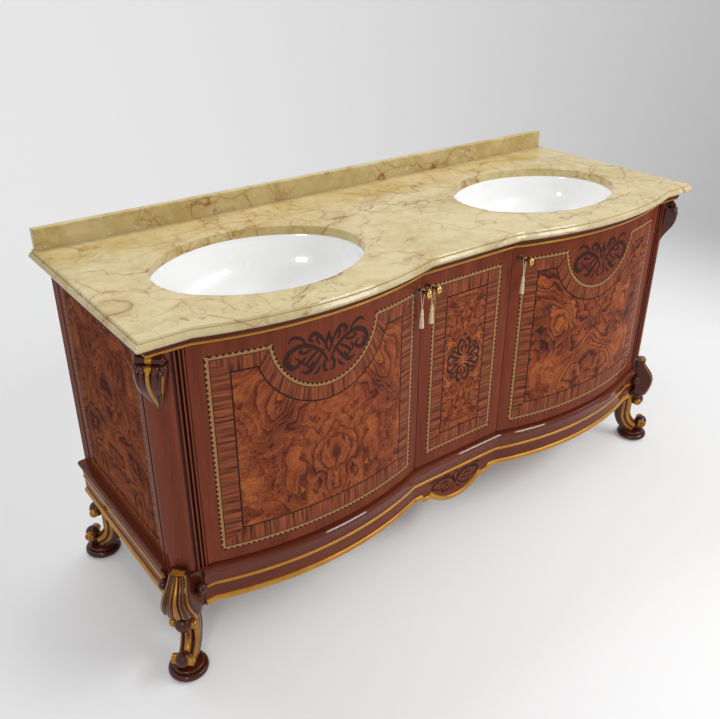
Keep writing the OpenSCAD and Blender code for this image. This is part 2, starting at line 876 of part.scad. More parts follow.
// Radius of the knee about its axis, and half the width of its leaf, at height z
knee_low = leg_h;
knee_wide = base_top - 49;
knee_top = base_top + knee_rise;
function knee_reach(z) =
    z > knee_wide
        ? knee_top_r + (knee_r - knee_top_r) * (1 + cos(180 * (z - knee_wide) / (knee_top - knee_wide))) / 2
        : knee_r - 15 * pow((knee_wide - z) / (knee_wide - knee_low), 2);
function knee_half(z) = fan_top_w + (fan_w - fan_top_w) * pow((knee_top - z) / (knee_top - knee_low - 30), 1.2);

module knee2d(inset) {
    steps = 18;
    polygon(concat(
        [[0, knee_low - inset]],
        [for (i = [0 : steps]) let (z = knee_low + (knee_top - knee_low) * i / steps) [knee_reach(z) - inset, z]],
        [[0, knee_top]]
    ));
}

module fan2d() {
    steps = 12;
    low = knee_low + 12;
    lobe = fan_w / 5;
    polygon(concat(
        [for (i = [0 : steps]) let (z = low + (knee_top - low) * i / steps) [min(fan_w, knee_half(z)), z]],
        [for (i = [steps : -1 : 0]) let (z = low + (knee_top - low) * i / steps) [-min(fan_w, knee_half(z)), z]]
    ));
    for (i = [-2 : 2]) translate([i * 2 * lobe, low]) circle(r = lobe, $fn = small_fn);
}

// Carved knee: a vase cut to a fan-shaped leaf, with grooves between its lobes
module knee() {
    axis = -32;
    groove_w = 3;
    groove_d = 3;
    difference() {
        intersection() {
            translate([axis, 0, 0]) rotate_extrude($fn = large_fn / 2) knee2d(0);
            translate([axis, 0, 0]) rotate([90, 0, 90]) linear_extrude(2 * knee_r) fan2d();
        }
        for (a = [-27, -9, 9, 27]) translate([axis, 0, 0]) rotate([0, 0, a]) across(groove_w) difference() {
            translate([0, knee_low - 5]) square([2 * knee_r, knee_top - knee_low]);
            knee2d(groove_d);
        }
    }
    for (e = [-1, 1]) translate([axis + 7, e * (fan_w - 2), base_top - 39]) sphere(r = 14, $fn = small_fn);
    cross_bar(-14, leg_h + 15, 18, 38);
}

module front_leg(s) {
    color(mahogany) placed() side(s) difference() {
        union() {
            corner_axes(case_d, -45) {
                lower_leg();
                knee();
            }
            block([block_in, -case_d, leg_h], [hx, -case_d + block_w, base_top]);
        }
        translate([0, 0, base_top]) linear_extrude(60) post2d(fit);
        column(fit);
    }
}

module rear_leg(s) {
    color(mahogany) placed() side(s) intersection() {
        corner_axes(rear_leg_y, 45) lower_leg();
        block([0, -case_d, 0], [case_w, case_d, leg_h]);
    }
}

// Glue blocks inside the base's corners
module corner_blocks() {
    size = 60;
    color(lining_wood) placed() for (s = [-1, 1]) side(s) {
        block([block_in - size, -case_d + plinth_t, leg_h], [block_in, -case_d + plinth_t + size, base_top]);
        block([hx - plinth_t - size, -plinth_t - 100, leg_h], [hx - plinth_t, -plinth_t, base_top]);
    }
}

// Plan of a door whose pivot is at x, with a round edge there
module door2d(x0, x1, pivot_x) {
    edge = pivot_x + pivot_in;
    difference() {
        intersection() {
            difference() {
                plan2d(0);
                plan2d(-door_t);
            }
            translate([x0, -case_d - bow - past]) square([x1 - x0, bow + door_t + 2 * past]);
        }
        translate([pivot_x, -case_d - past]) square([pivot_in + past, pivot_in + past]);
    }
    translate([pivot_x, pivot_y]) circle(r = pivot_in, $fn = small_fn);
    translate([pivot_x - past, pivot_y]) square([edge - pivot_x + past, door_t - pivot_in]);
}

// A door with mortises for its leaves and holes for the pins
module door_solid(x0, x1, pivot_x) {
    hole_r = pin_r + 1;
    hole_l = pin_l + 1;
    difference() {
        translate([0, 0, door_low]) linear_extrude(door_h) door2d(x0, x1, pivot_x);
        leaf_plate(pivot_x, door_low);
        leaf_plate(pivot_x, door_top - leaf_t);
        translate([pivot_x, pivot_y, door_low - past]) cylinder(r = hole_r, h = hole_l + past, $fn = small_fn);
        translate([pivot_x, pivot_y, door_top - hole_l]) cylinder(r = hole_r, h = hole_l + past, $fn = small_fn);
    }
}

module side_door(s) {
    color(burl) placed() side(s) door_solid(bow_in, side_pivot_x + pivot_in, side_pivot_x);
}

module centre_door() {
    color(burl) placed() door_solid(-centre_half, centre_half, centre_pivot_x);
}

// Leaves let into the case, with the pins that the door turns on
module fixed_leaves(pivot_x) {
    leaf_plate(pivot_x, base_top);
    translate([pivot_x, pivot_y, base_top]) {
        cylinder(r = pin_r + 2, h = low_gap - fit, $fn = small_fn);
        cylinder(r = pin_r, h = low_gap + pin_l - 1, $fn = small_fn);
    }
    leaf_plate(pivot_x, cornice_low);
    translate([pivot_x, pivot_y, door_top - pin_l + 1])
        cylinder(r = pin_r, h = top_gap + pin_l - 1 + leaf_t, $fn = small_fn);
}

// Leaves let into the door's edges, with the holes that the pins turn in
module door_leaves(pivot_x) {
    difference() {
        union() {
            leaf_plate(pivot_x, door_low);
            leaf_plate(pivot_x, door_top - leaf_t);
        }
        translate([pivot_x, pivot_y, door_low - past])
            cylinder(r = pin_r + pin_play, h = door_h + 2 * past, $fn = small_fn);
    }
}

// A turned brass knob: rose, neck and an upright olive-shaped head
module knob(x) {
    face = case_d + bow_at(x);
    arc_r = (pow(head_h / 2, 2) + head_r * head_r) / (2 * head_r);
    color(brass) placed() difference() {
        union() {
            translate([x, -face + 6, knob_z]) rotate([90, 0, 0]) {
                cylinder(r = rose_r, h = 10, $fn = small_fn);
                translate([0, 0, 10]) cylinder(r = rose_r - 3, h = 2, $fn = small_fn);
                cylinder(r = neck_r, h = knob_reach + 6, $fn = small_fn);
            }
            translate([x, -face - knob_reach, knob_z]) {
                rotate_extrude($fn = small_fn) intersection() {
                    translate([head_r - arc_r, 0]) circle(r = arc_r, $fn = small_fn * 2);
                    translate([0, -head_h]) square([2 * head_r, 2 * head_h]);
                }
                for (e = [-1, 1]) translate([0, 0, e * head_h / 2]) sphere(r = 2.2, $fn = small_fn / 2);
            }
        }
        prism(0.05, knob_z - 2 * rose_r, knob_z + 2 * rose_r);
    }
}

// Magnets under the front rail and their steel strikes on the doors' backs
module behind_front(x, d0, d1, w, z0, z1) {
    intersection() {
        difference() {
            prism(d0, z0, z1);
            prism(d1, z0 - past, z1 + past);
        }
        block([x - w / 2, -case_d - bow, z0], [x + w / 2, -case_d / 2, z1]);
    }
}

catch_w = 34;
catch_h = 14;
catch_gap = 0.4;
side_catch_x = flat_w / 2 + 52;
centre_catch_x = -flat_w / 2 + 48;

module magnet_catches() {
    top = cornice_low - rail_h;
    color(steel) placed() for (x = [-side_catch_x, centre_catch_x, side_catch_x]) {
        behind_front(x, -door_back, -rail_back + 4, catch_w, top - catch_h, top);
    }
}

module strike(x) {
    top = cornice_low - rail_h;
    color(steel) placed()
        behind_front(x, -door_t - fit, -door_back + catch_gap, catch_w - 6, top - catch_h + 1, top - 1);
}

// A tassel: a knot, a ball, a bound neck and a skirt of threads
module tassel(x) {
    top = knob_z + loop_low;
    face = case_d + bow_at(x);
    color(thread) placed() translate([x, -face - tassel_out, 0]) rotate_extrude($fn = small_fn) {
        translate([0, top - 3]) square([2.4, 3]);
        intersection() {
            translate([0, top - 6]) circle(r = 4.3, $fn = small_fn);
            translate([0, top - 12]) square([6, 12]);
        }
        polygon([
            [0, top - 8], [3.6, top - 8], [5.3, top - 12], [5.3, top - 18], [4.2, top - 19.5],
            [4.2, top - 21.5], [5.4, top - 23], [skirt_r, top - tassel_l], [0, top - tassel_l]
        ]);
    }
}

// Sweeps an eight-sided tube along points in the upright plane
function loop_points() = concat(
    half_loop, [loop_top],
    [for (i = [len(half_loop) - 1 : -1 : 0]) [-half_loop[i][0], half_loop[i][1]]]
);
function unit(v) = v / norm(v);
function run_at(p, i) = unit(p[min(i + 1, len(p) - 1)] - p[max(i - 1, 0)]);

module tassel_cord(x) {
    sides = 8;
    p = loop_points();
    n = len(p);
    face = case_d + bow_at(x);
    rings = [for (i = [0 : n - 1], k = [0 : sides - 1])
        let (t = run_at(p, i), a = 360 * (k + 0.5) / sides)
        [p[i][0] - t[1] * cord_r * cos(a), cord_r * sin(a), p[i][1] + t[0] * cord_r * cos(a)]];
    walls = [for (i = [0 : n - 2], k = [0 : sides - 1], h = [0, 1])
        let (a = i * sides + k, b = i * sides + (k + 1) % sides, c = a + sides, d = b + sides)
        h == 0 ? [a, b, d] : [a, d, c]];
    ends = [for (k = [1 : sides - 2], h = [0, 1])
        h == 0 ? [0, k + 1, k] : [(n - 1) * sides, (n - 1) * sides + k, (n - 1) * sides + k + 1]];
    color(thread) placed() translate([x, -face - tassel_out, knob_z])
        polyhedron(points = rings, faces = concat(walls, ends));
}

marble_top();
backsplash();
basin(-1);  // left_basin
basin(1);  // right_basin
basin_clips();
front_cornice();
side_cornice(-1);  // left_cornice
side_cornice(1);  // right_cornice
gilt_beads();
side_panel(-1);  // left_side_panel
side_panel(1);  // right_side_panel
back_panel();
bottom_board();
partition(-1);  // left_partition
partition(1);  // right_partition
front_rail();
rear_rail();
front_post(-1);  // front_left_post
front_post(1);  // front_right_post
rear_post_at(-1);  // rear_left_post
rear_post_at(1);  // rear_right_post
capital(-1);  // left_capital
capital(1);  // right_capital
front_plinth();
side_plinth(-1);  // left_plinth
side_plinth(1);  // right_plinth
rear_plinth();
gilt_lines();
gilt_edges();
apron_inlay();
front_leg(-1);  // front_left_leg
front_leg(1);  // front_right_leg
rear_leg(-1);  // rear_left_leg
rear_leg(1);  // rear_right_leg
corner_blocks();
side_door(-1);  // left_door
centre_door();
side_door(1);  // right_door
knob(-side_knob_x);  // left_knob
knob(-centre_knob_x);  // centre_knob
knob(side_knob_x);  // right_knob
color(brass) placed() side(-1) fixed_leaves(side_pivot_x);  // left_fixed_leaves
color(brass) placed() fixed_leaves(centre_pivot_x);  // centre_fixed_leaves
color(brass) placed() fixed_leaves(side_pivot_x);  // right_fixed_leaves
color(brass) placed() side(-1) door_leaves(side_pivot_x);  // left_door_leaves
color(brass) placed() door_leaves(centre_pivot_x);  // centre_door_leaves
color(brass) placed() door_leaves(side_pivot_x);  // right_door_leaves
magnet_catches();
strike(-side_catch_x);  // left_strike
strike(centre_catch_x);  // centre_strike
strike(side_catch_x);  // right_strike
tassel(-side_knob_x);  // left_tassel
tassel(-centre_knob_x);  // centre_tassel
tassel(side_knob_x);  // right_tassel
tassel_cord(-side_knob_x);  // left_tassel_cord
tassel_cord(-centre_knob_x);  // centre_tassel_cord
tassel_cord(side_knob_x);  // right_tassel_cord
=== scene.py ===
"""Looks of a double vanity: a bowed marquetry case on carved legs, under a marble top with two bowls.

Lengths are millimetres of the case: x runs to the right along the front, y is 0 at the back and negative
towards the front, z is the height above the floor. Part.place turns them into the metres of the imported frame.
Materials work in those metres.
"""
import logging
import math
from dataclasses import dataclass, field, replace
from enum import Enum
from typing import Any, Callable, Mapping, Optional, Sequence, Union

import bmesh
import bpy
import numpy as np
from mathutils import Matrix, Vector


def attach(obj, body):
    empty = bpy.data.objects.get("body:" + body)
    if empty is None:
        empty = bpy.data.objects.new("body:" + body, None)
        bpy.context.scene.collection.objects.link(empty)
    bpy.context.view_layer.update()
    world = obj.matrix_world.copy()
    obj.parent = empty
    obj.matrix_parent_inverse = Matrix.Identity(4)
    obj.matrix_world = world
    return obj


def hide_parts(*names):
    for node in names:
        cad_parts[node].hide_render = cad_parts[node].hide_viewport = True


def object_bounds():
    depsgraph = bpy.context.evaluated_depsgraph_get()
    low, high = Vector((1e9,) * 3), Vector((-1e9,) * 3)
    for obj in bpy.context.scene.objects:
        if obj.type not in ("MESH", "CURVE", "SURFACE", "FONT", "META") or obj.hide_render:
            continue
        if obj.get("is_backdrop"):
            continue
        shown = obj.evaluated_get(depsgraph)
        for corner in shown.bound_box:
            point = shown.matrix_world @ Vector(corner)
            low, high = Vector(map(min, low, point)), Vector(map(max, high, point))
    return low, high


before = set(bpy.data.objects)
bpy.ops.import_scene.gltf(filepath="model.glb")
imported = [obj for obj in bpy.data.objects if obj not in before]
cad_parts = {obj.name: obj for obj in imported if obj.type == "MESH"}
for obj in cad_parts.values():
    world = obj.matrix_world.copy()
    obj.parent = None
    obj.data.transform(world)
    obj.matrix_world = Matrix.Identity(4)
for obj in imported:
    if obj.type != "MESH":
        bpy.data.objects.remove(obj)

log = logging.getLogger("vanity")
Array = np.ndarray
Colour = tuple[float, float, float]
Number = Union["Value", float]
Socket = bpy.types.NodeSocket
Material = bpy.types.Material

MM = 1000.0  # millimetres in a metre
BACK_SHIFT = 342.0  # from the case's back to the frame's origin
MIRROR = np.array([-1.0, 1.0, 1.0])

# Heights and places that several pieces share
BASE_LOW, BASE_TOP = 172.0, 281.0
CORNICE_LOW, SLAB_LOW = 857.5, 884.0
BLOCK_IN, BLOCK_BACK = 803.0, -535.0


class Body(str, Enum):
    """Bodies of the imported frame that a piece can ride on."""

    CASE = "case"
    LEFT = "left_leaf"
    CENTRE = "centre_leaf"
    RIGHT = "right_leaf"


class Slot(str, Enum):
    """Material slots of the record. The pieces are made with one, but Part.make does not use it."""

    MARBLE = "marble"
    CERAMIC = "ceramic"
    MAHOGANY = "mahogany"
    VENEER = "veneer"
    GILDING = "gilding"
    BRASS = "brass"
    THREAD = "thread"


class Grain(Enum):
    """How the coordinates are stretched along a wood's fibres.

    UPRIGHT fibres run up the object. MAPPED ones follow the piece's own map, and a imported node, which has
    none, gets one even tone from it.
    """

    UPRIGHT = (1.0, 1.0, 0.07)
    MAPPED = (0.07, 1.0, 1.0)


# Shader maths


def operator(operation: str) -> Callable[["Value", Number], "Value"]:
    """A method for one of Value's operators."""
    def method(value: "Value", other: Number) -> "Value":
        """Adds the operator's Math node."""
        return value.maths(operation, other)
    return method


class Value:
    """A number socket that is used like a number: each operator adds its Math node."""

    __add__ = __radd__ = operator("ADD")
    __sub__ = operator("SUBTRACT")
    __mul__ = __rmul__ = operator("MULTIPLY")
    __truediv__ = operator("DIVIDE")
    __pow__ = operator("POWER")

    def __init__(self, kit: "Kit", socket: Socket) -> None:
        """Keeps the material's kit and the socket that holds the number."""
        self.kit = kit
        self.socket = socket

    def maths(self, operation: str, *others: Number, clamp: bool = False) -> "Value":
        """Adds a Math node.

        Args:
            operation: the node's operation.
            others: the values of its further sockets.
            clamp: whether the result is held between 0 and 1.

        Returns:
            The node's result.
        """
        settings = {"operation": operation, "use_clamp": clamp}
        inputs = dict(enumerate((self, *others)))
        return Value(self.kit, self.kit.node("ShaderNodeMath", settings, inputs).outputs[0])

    def __rsub__(self, other: float) -> "Value":
        """The difference from a plain number."""
        return (self * -1.0) + other

    def __rtruediv__(self, other: float) -> "Value":
        """A plain number divided by the value."""
        return (self ** -1.0) * other

    def __abs__(self) -> "Value":
        """The size without its sign."""
        return self.maths("ABSOLUTE")

    def clamped(self) -> "Value":
        """The value held between 0 and 1."""
        return self.maths("ADD", 0.0, clamp=True)

    def sine(self) -> "Value":
        """The sine."""
        return self.maths("SINE")

    def wave(self, pitch: float) -> "Value":
        """A triangle wave from 0 to 1 and back once in each pitch."""
        return self.maths("PINGPONG", pitch / 2) / (pitch / 2)

    def step(self, low: float, high: float) -> "Value":
        """A smooth step: 0 below low, 1 above high. Low may be the larger, which turns the step round."""
        if low > high:
            return 1.0 - self.step(high, low)
        settings = {"interpolation_type": "SMOOTHSTEP"}
        inputs = {"Value": self, "From Min": low, "From Max": high}
        return Value(self.kit, self.kit.node("ShaderNodeMapRange", settings, inputs).outputs[0])


class Kit:
    """The node tree of one material, with its shader ready."""

    def __init__(self, name: str) -> None:
        """Makes the material and keeps its Principled shader."""
        self.material = bpy.data.materials.new(name)
        self.material.use_nodes = True
        self.tree = self.material.node_tree
        self.shader = next(n for n in self.tree.nodes if n.type == "BSDF_PRINCIPLED")

    def node(self, kind: str, settings: Mapping[str, Any],
             inputs: Mapping[Union[str, int], Any]) -> bpy.types.Node:
        """Adds a node.

        Args:
            kind: the node's type.
            settings: its properties, and "stops" for a colour ramp, which are set first.
            inputs: values or links by the socket's identifier, name or index.

        Returns:
            The node.
        """
        node = self.tree.nodes.new(kind)
        for key, value in settings.items():
            if key == "stops":
                self.set_stops(node.color_ramp, value)
            else:
                setattr(node, key, value)
        for key, value in inputs.items():
            self.feed(self.find(node, key), value)
        return node

    @staticmethod
    def find(node: bpy.types.Node, key: Union[str, int]) -> Socket:
        """The node's input of that index, identifier or name."""
        if isinstance(key, int):
            return node.inputs[key]
        return next((s for s in node.inputs if s.identifier == key), None) or node.inputs[key]

    @staticmethod
    def set_stops(ramp: bpy.types.ColorRamp, stops: Sequence[tuple[float, Colour]]) -> None:
        """Gives a ramp its stops, each a position and a colour."""
        while len(ramp.elements) < len(stops):
            ramp.elements.new(0.5)
        for element, (position, colour) in zip(ramp.elements, stops):
            element.position = position
            element.color = (*colour, 1.0)

    def feed(self, socket: Socket, value: Any) -> None:
        """Links a value or a socket to an input, or sets a plain number, vector or colour on it."""
        if isinstance(value, Value):
            self.tree.links.new(value.socket, socket)
        elif isinstance(value, Socket):
            self.tree.links.new(value, socket)
        elif socket.type == "RGBA" and len(value) == 3:
            socket.default_value = (*value, 1.0)
        else:
            socket.default_value = value

    def place(self) -> Socket:
        """The object's own coordinates, in metres."""
        return self.node("ShaderNodeTexCoord", {}, {}).outputs["Object"]

    def map(self) -> Socket:
        """The piece's own map: metres along and across its surface, or shares of a strip's width."""
        return self.node("ShaderNodeUVMap", {"uv_map": "map"}, {}).outputs[0]

    def attribute(self, name: str) -> Value:
        """A number that the mesh holds at each of its points."""
        return Value(self, self.node("ShaderNodeAttribute", {"attribute_name": name}, {}).outputs["Fac"])

    def parts(self, vector: Socket) -> tuple[Value, Value, Value]:
        """The three parts of a vector."""
        node = self.node("ShaderNodeSeparateXYZ", {}, {0: vector})
        return tuple(Value(self, s) for s in node.outputs)

    def vector(self, x: Any, y: Any, z: Any) -> Socket:
        """A vector from three values."""
        return self.node("ShaderNodeCombineXYZ", {}, {0: x, 1: y, 2: z}).outputs[0]

    def scaled(self, vector: Socket, scale: Sequence[float],
               shift: Sequence[float] = (0.0, 0.0, 0.0)) -> Socket:
        """A vector multiplied by scale, part by part, and then moved by shift."""
        return self.node("ShaderNodeVectorMath", {"operation": "MULTIPLY_ADD"},
                         {0: vector, 1: tuple(scale), 2: tuple(shift)}).outputs[0]

    def noise(self, vector: Socket, scale: float, detail: float = 3.0, rough: float = 0.5,
              bend: float = 0.0) -> Value:
        """Cloudy noise from 0 to 1 whose spots are about 1 / scale across."""
        node = self.node("ShaderNodeTexNoise", {}, {
            "Vector": vector, "Scale": scale, "Detail": detail, "Roughness": rough, "Distortion": bend})
        return Value(self, node.outputs[0])

    def bent(self, vector: Socket, scale: float, amount: float) -> Socket:
        """A vector pushed about by coloured noise: v + amount * (noise - 0.5)."""
        noise = self.node("ShaderNodeTexNoise", {},
                          {"Vector": vector, "Scale": scale, "Detail": 2.0}).outputs["Color"]
        push = self.scaled(noise, (amount,) * 3, (-amount / 2,) * 3)
        return self.node("ShaderNodeVectorMath", {"operation": "ADD"}, {0: vector, 1: push}).outputs[0]

    def mix(self, share: Number, low: Any, high: Any) -> Socket:
        """A colour between two colours."""
        node = self.node("ShaderNodeMix", {"data_type": "RGBA"},
                         {"Factor_Float": share, "A_Color": low, "B_Color": high})
        return next(s for s in node.outputs if s.identifier == "Result_Color")

    def ramp(self, share: Value, stops: Sequence[tuple[float, Colour]]) -> Socket:
        """A colour from a ramp."""
        return self.node("ShaderNodeValToRGB", {"stops": stops}, {0: share}).outputs[0]

    def shade(self, **inputs: Any) -> None:
        """Sets or feeds inputs of the shader. Words are joined by underscores in place of spaces."""
        for key, value in inputs.items():
            self.feed(self.shader.inputs[key.replace("_", " ")], value)

    def lacquer(self, colour: Socket, rough: Value, coat: float = 0.2, haze: float = 0.05) -> None:
        """Shades wood under clear lacquer: coat is the lacquer's weight and haze its roughness."""
        self.shade(Base_Color=colour, Roughness=rough, Coat_Weight=coat, Coat_Roughness=haze,
                   Specular_IOR_Level=0.0)

    def bump(self, height: Value, strength: float, depth: float) -> None:
        """Feeds the shader's normal from a height, depth metres from 0 to 1."""
        node = self.node("ShaderNodeBump", {}, {"Strength": strength, "Distance": depth, "Height": height})
        self.feed(self.shader.inputs["Normal"], node.outputs[0])


# Finishes

GOLD = (0.66, 0.315, 0.030)


class Finish:
    """A look: its fields say how, and paint feeds the shader of a new material."""

    def paint(self, kit: Kit) -> None:
        """Feeds the shader."""
        raise NotImplementedError

    def make(self, name: str) -> Material:
        """Makes the material of that name."""
        kit = Kit(name)
        self.paint(kit)
        return kit.material


@dataclass(frozen=True)
class Mahogany(Finish):
    """Dark red mahogany under gloss lacquer: long fibres, short pores and slow clouds of tone."""

    grain: Grain
    dark: Colour = (0.088, 0.0175, 0.0090)
    light: Colour = (0.280, 0.0640, 0.0275)
    coat: float = 0.2
    haze: float = 0.05
    # stained: whether the flutes that the gilt attribute marks get painted shade, nearly black
    stained: bool = False

    def tone(self, kit: Kit) -> tuple[Socket, Value]:
        """Works out the wood's colour.

        Args:
            kit: the material's kit.

        Returns:
            The colour, and the fibres' height from 0 to 1.
        """
        base = kit.map() if self.grain is Grain.MAPPED else kit.place()
        along = kit.scaled(base, self.grain.value)
        fibres = kit.noise(along, 190.0, 4.0, 0.6)
        bands = kit.noise(kit.bent(along, 6.0, 0.03), 26.0, 3.0, 0.5)
        pores = kit.noise(kit.scaled(base, tuple(s * s for s in self.grain.value)),
                          700.0, 1.0).step(0.60, 0.74)
        share = (fibres * 0.55 + bands * 0.75 - 0.22).clamped()
        colour = kit.mix(share, self.dark, self.light)
        return kit.mix(pores * 0.45, colour, self.dark), fibres - pores * 0.4

    def paint(self, kit: Kit) -> None:
        """Feeds the shader."""
        colour, height = self.tone(kit)
        # painted shade in the posts' flutes: where the gilt attribute marks them, the colour goes nearly black
        if self.stained:
            colour = kit.mix(kit.attribute("gilt").clamped() * 0.9, colour, (0.012, 0.004, 0.003))
        kit.lacquer(colour, 0.42 + height * 0.1, self.coat, self.haze)
        kit.bump(height, 0.12, 0.0004)


@dataclass(frozen=True)
class Carved(Finish):
    """Carved mahogany with gilding where the mesh's gilt attribute says so, rubbed through in places."""

    wood: Mahogany = Mahogany(Grain.UPRIGHT, (0.022, 0.0036, 0.0020), (0.118, 0.0225, 0.0085))
    gold: Colour = GOLD
    worn: Colour = (0.23, 0.083, 0.012)

    def paint(self, kit: Kit) -> None:
        """Feeds the shader."""
        wood, height = self.wood.tone(kit)
        place = kit.place()
        rub = kit.noise(place, 90.0, 4.0, 0.65)
        gilt = (kit.attribute("gilt") + (rub - 0.5) * 0.18).step(0.44, 0.56)
        tone = kit.noise(place, 35.0, 2.0)
        gold = kit.mix((tone * 0.9 + rub * 0.5 - 0.35).clamped(), self.worn, self.gold)
        kit.shade(Base_Color=kit.mix(gilt, wood, gold), Metallic=gilt * 0.5, Roughness=0.34 - gilt * 0.06,
                  Coat_Weight=0.6 - gilt * 0.25, Coat_Roughness=0.03, Specular_IOR_Level=0.05)
        kit.bump(rub * 0.6 + height * 0.3, 0.15, 0.0006)


@dataclass(frozen=True)
class Gilding(Finish):
    """Burnished gold on wood mouldings, darker where it is rubbed."""

    gold: Colour = GOLD
    worn: Colour = (0.34, 0.140, 0.016)

    def paint(self, kit: Kit) -> None:
        """Feeds the shader."""
        place = kit.place()
        cloud = kit.noise(kit.bent(place, 9.0, 0.05), 18.0, 4.0, 0.6)
        fine = kit.noise(place, 260.0, 3.0, 0.6)
        colour = kit.mix((cloud * 1.1 + fine * 0.35 - 0.3).clamped(), self.worn, self.gold)
        kit.shade(Base_Color=colour, Metallic=0.4, Roughness=0.28 + fine * 0.12, Coat_Weight=0.2,
                  Coat_Roughness=0.12, Specular_IOR_Level=0.3)
        kit.bump(fine, 0.15, 0.0003)


@dataclass(frozen=True)
class Burl(Finish):
    """Swirling burl veneer, opened like a book about a centre line: mirrored bent noise and its contours."""

    centre: tuple[float, float, float]
    across: int = 0
    fourfold: bool = False
    seed: float = 0.0
    arch: float = 1.0
    fineness: float = 1.0
    coat: float = 0.2
    dark: Colour = (0.034, 0.0085, 0.0055)
    mid: Colour = (0.225, 0.0500, 0.0175)
    light: Colour = (0.470, 0.136, 0.036)

    def paint(self, kit: Kit) -> None:
        """Feeds the shader."""
        parts = kit.parts(kit.scaled(kit.place(), (1.0, 1.0, 1.0), tuple(-c for c in self.centre)))
        side, high = abs(parts[self.across]), abs(parts[2]) if self.fourfold else parts[2]
        leaf = kit.vector(side, high, self.seed)
        k = self.fineness
        warped = kit.bent(kit.bent(leaf, 4.8 * k, 0.19 / k), 15.0 * k, 0.062 / k)
        bell = 1.0 / ((side * side * 150.0 + high * high * 70.0) + 1.0)
        flow = kit.noise(warped, 5.2 * k, 1.0, 0.4) * 15.0 + bell * (4.5 * self.arch)
        ring = (flow + kit.noise(warped, 30.0 * k, 2.0) * 1.5).maths("FRACT")
        streak = ((flow * 4.0 + kit.noise(warped, 60.0 * k, 2.0) * 3.0) * math.tau).sine()
        busy = kit.noise(leaf, 6.0 * k, 2.0).step(0.40, 0.58) * 0.8 + bell.step(0.25, 0.7) * 0.5 + 0.15
        line = (ring.step(0.30, 0.97) ** 2.0) * ring.step(1.0, 0.96) * busy
        shade = kit.noise(warped, 10.0 * k, 4.0, 0.6, 0.6)
        fine = kit.noise(kit.scaled(warped, (1.0, 0.30, 1.0)), 260.0, 3.0, 0.7)
        eyes = kit.noise(leaf, 85.0, 3.0, 0.7).step(0.58, 0.72)
        share = ((shade - 0.5) * 1.7 + 0.44 + (fine - 0.5) * 1.0 + (ring - 0.5) * -0.22
                 + streak * 0.06).clamped()
        colour = kit.ramp(share, ((0.0, self.dark), (0.40, self.mid), (1.0, self.light)))
        colour = kit.mix((line * 1.2).clamped() * 0.66, colour, self.dark)
        colour = kit.mix(eyes * 0.4, colour, self.dark)
        kit.lacquer(colour, 0.36 + fine * 0.14, self.coat)
        kit.bump(fine, 0.08, 0.0003)


@dataclass(frozen=True)
class Crossband(Finish):
    """Straight veneer whose fibres run across the strip: stripes along its map's first direction."""

    dark: Colour = (0.050, 0.0120, 0.0075)
    light: Colour = (0.330, 0.088, 0.035)

    def paint(self, kit: Kit) -> None:
        """Feeds the shader."""
        strip = kit.scaled(kit.map(), (1.0, 0.0022, 1.0))
        wide = kit.noise(strip, 55.0, 2.0)
        fine = kit.noise(strip, 420.0, 3.0, 0.65)
        middle = kit.noise(strip, 150.0, 2.0)
        share = (wide.step(0.3, 0.72) * 0.35 + (middle - 0.5) * 2.3 + (fine - 0.5) * 1.5 + 0.36).clamped()
        kit.lacquer(kit.mix(share, self.dark, self.light), 0.38 + fine * 0.12)
        kit.bump(fine, 0.08, 0.0003)


@dataclass(frozen=True)
class Stringing(Finish):
    """A pale holly strip with a saw-tooth edge against a dark line.

    The map's first part is the distance along the strip in metres and its second the share of the width. The
    pale wood shows where that share lies between the saw-tooth, a triangle wave of the distance, and the dark
    line.
    """

    pitch: float = 0.0130
    tooth: float = 0.48
    line_at: float = 0.84
    pale: Colour = (0.40, 0.200, 0.078)
    dark: Colour = (0.024, 0.0085, 0.0065)

    def paint(self, kit: Kit) -> None:
        """Feeds the shader."""
        along, across, _ = kit.parts(kit.map())
        edge = along.wave(self.pitch) * self.tooth
        shown = (across - edge).step(-0.03, 0.03) * across.step(self.line_at + 0.03, self.line_at - 0.03)
        tone = kit.noise(kit.scaled(kit.map(), (1.0, 0.01, 1.0)), 90.0, 3.0)
        pale = kit.mix(tone * 0.6, self.pale, tuple(c * 0.62 for c in self.pale))
        kit.lacquer(kit.mix(shown, self.dark, pale), 0.42 + tone * 0.08)


@dataclass(frozen=True)
class Inlay(Finish):
    """Dark stained wood let into a lighter one."""

    dark: Colour = (0.0125, 0.0065, 0.0062)
    light: Colour = (0.034, 0.0145, 0.012)

    def paint(self, kit: Kit) -> None:
        """Feeds the shader."""
        fibre = kit.noise(kit.scaled(kit.place(), (1.0, 1.0, 0.1)), 300.0, 3.0)
        kit.lacquer(kit.mix(fibre, self.dark, self.light), 0.40 + fibre * 0.1)


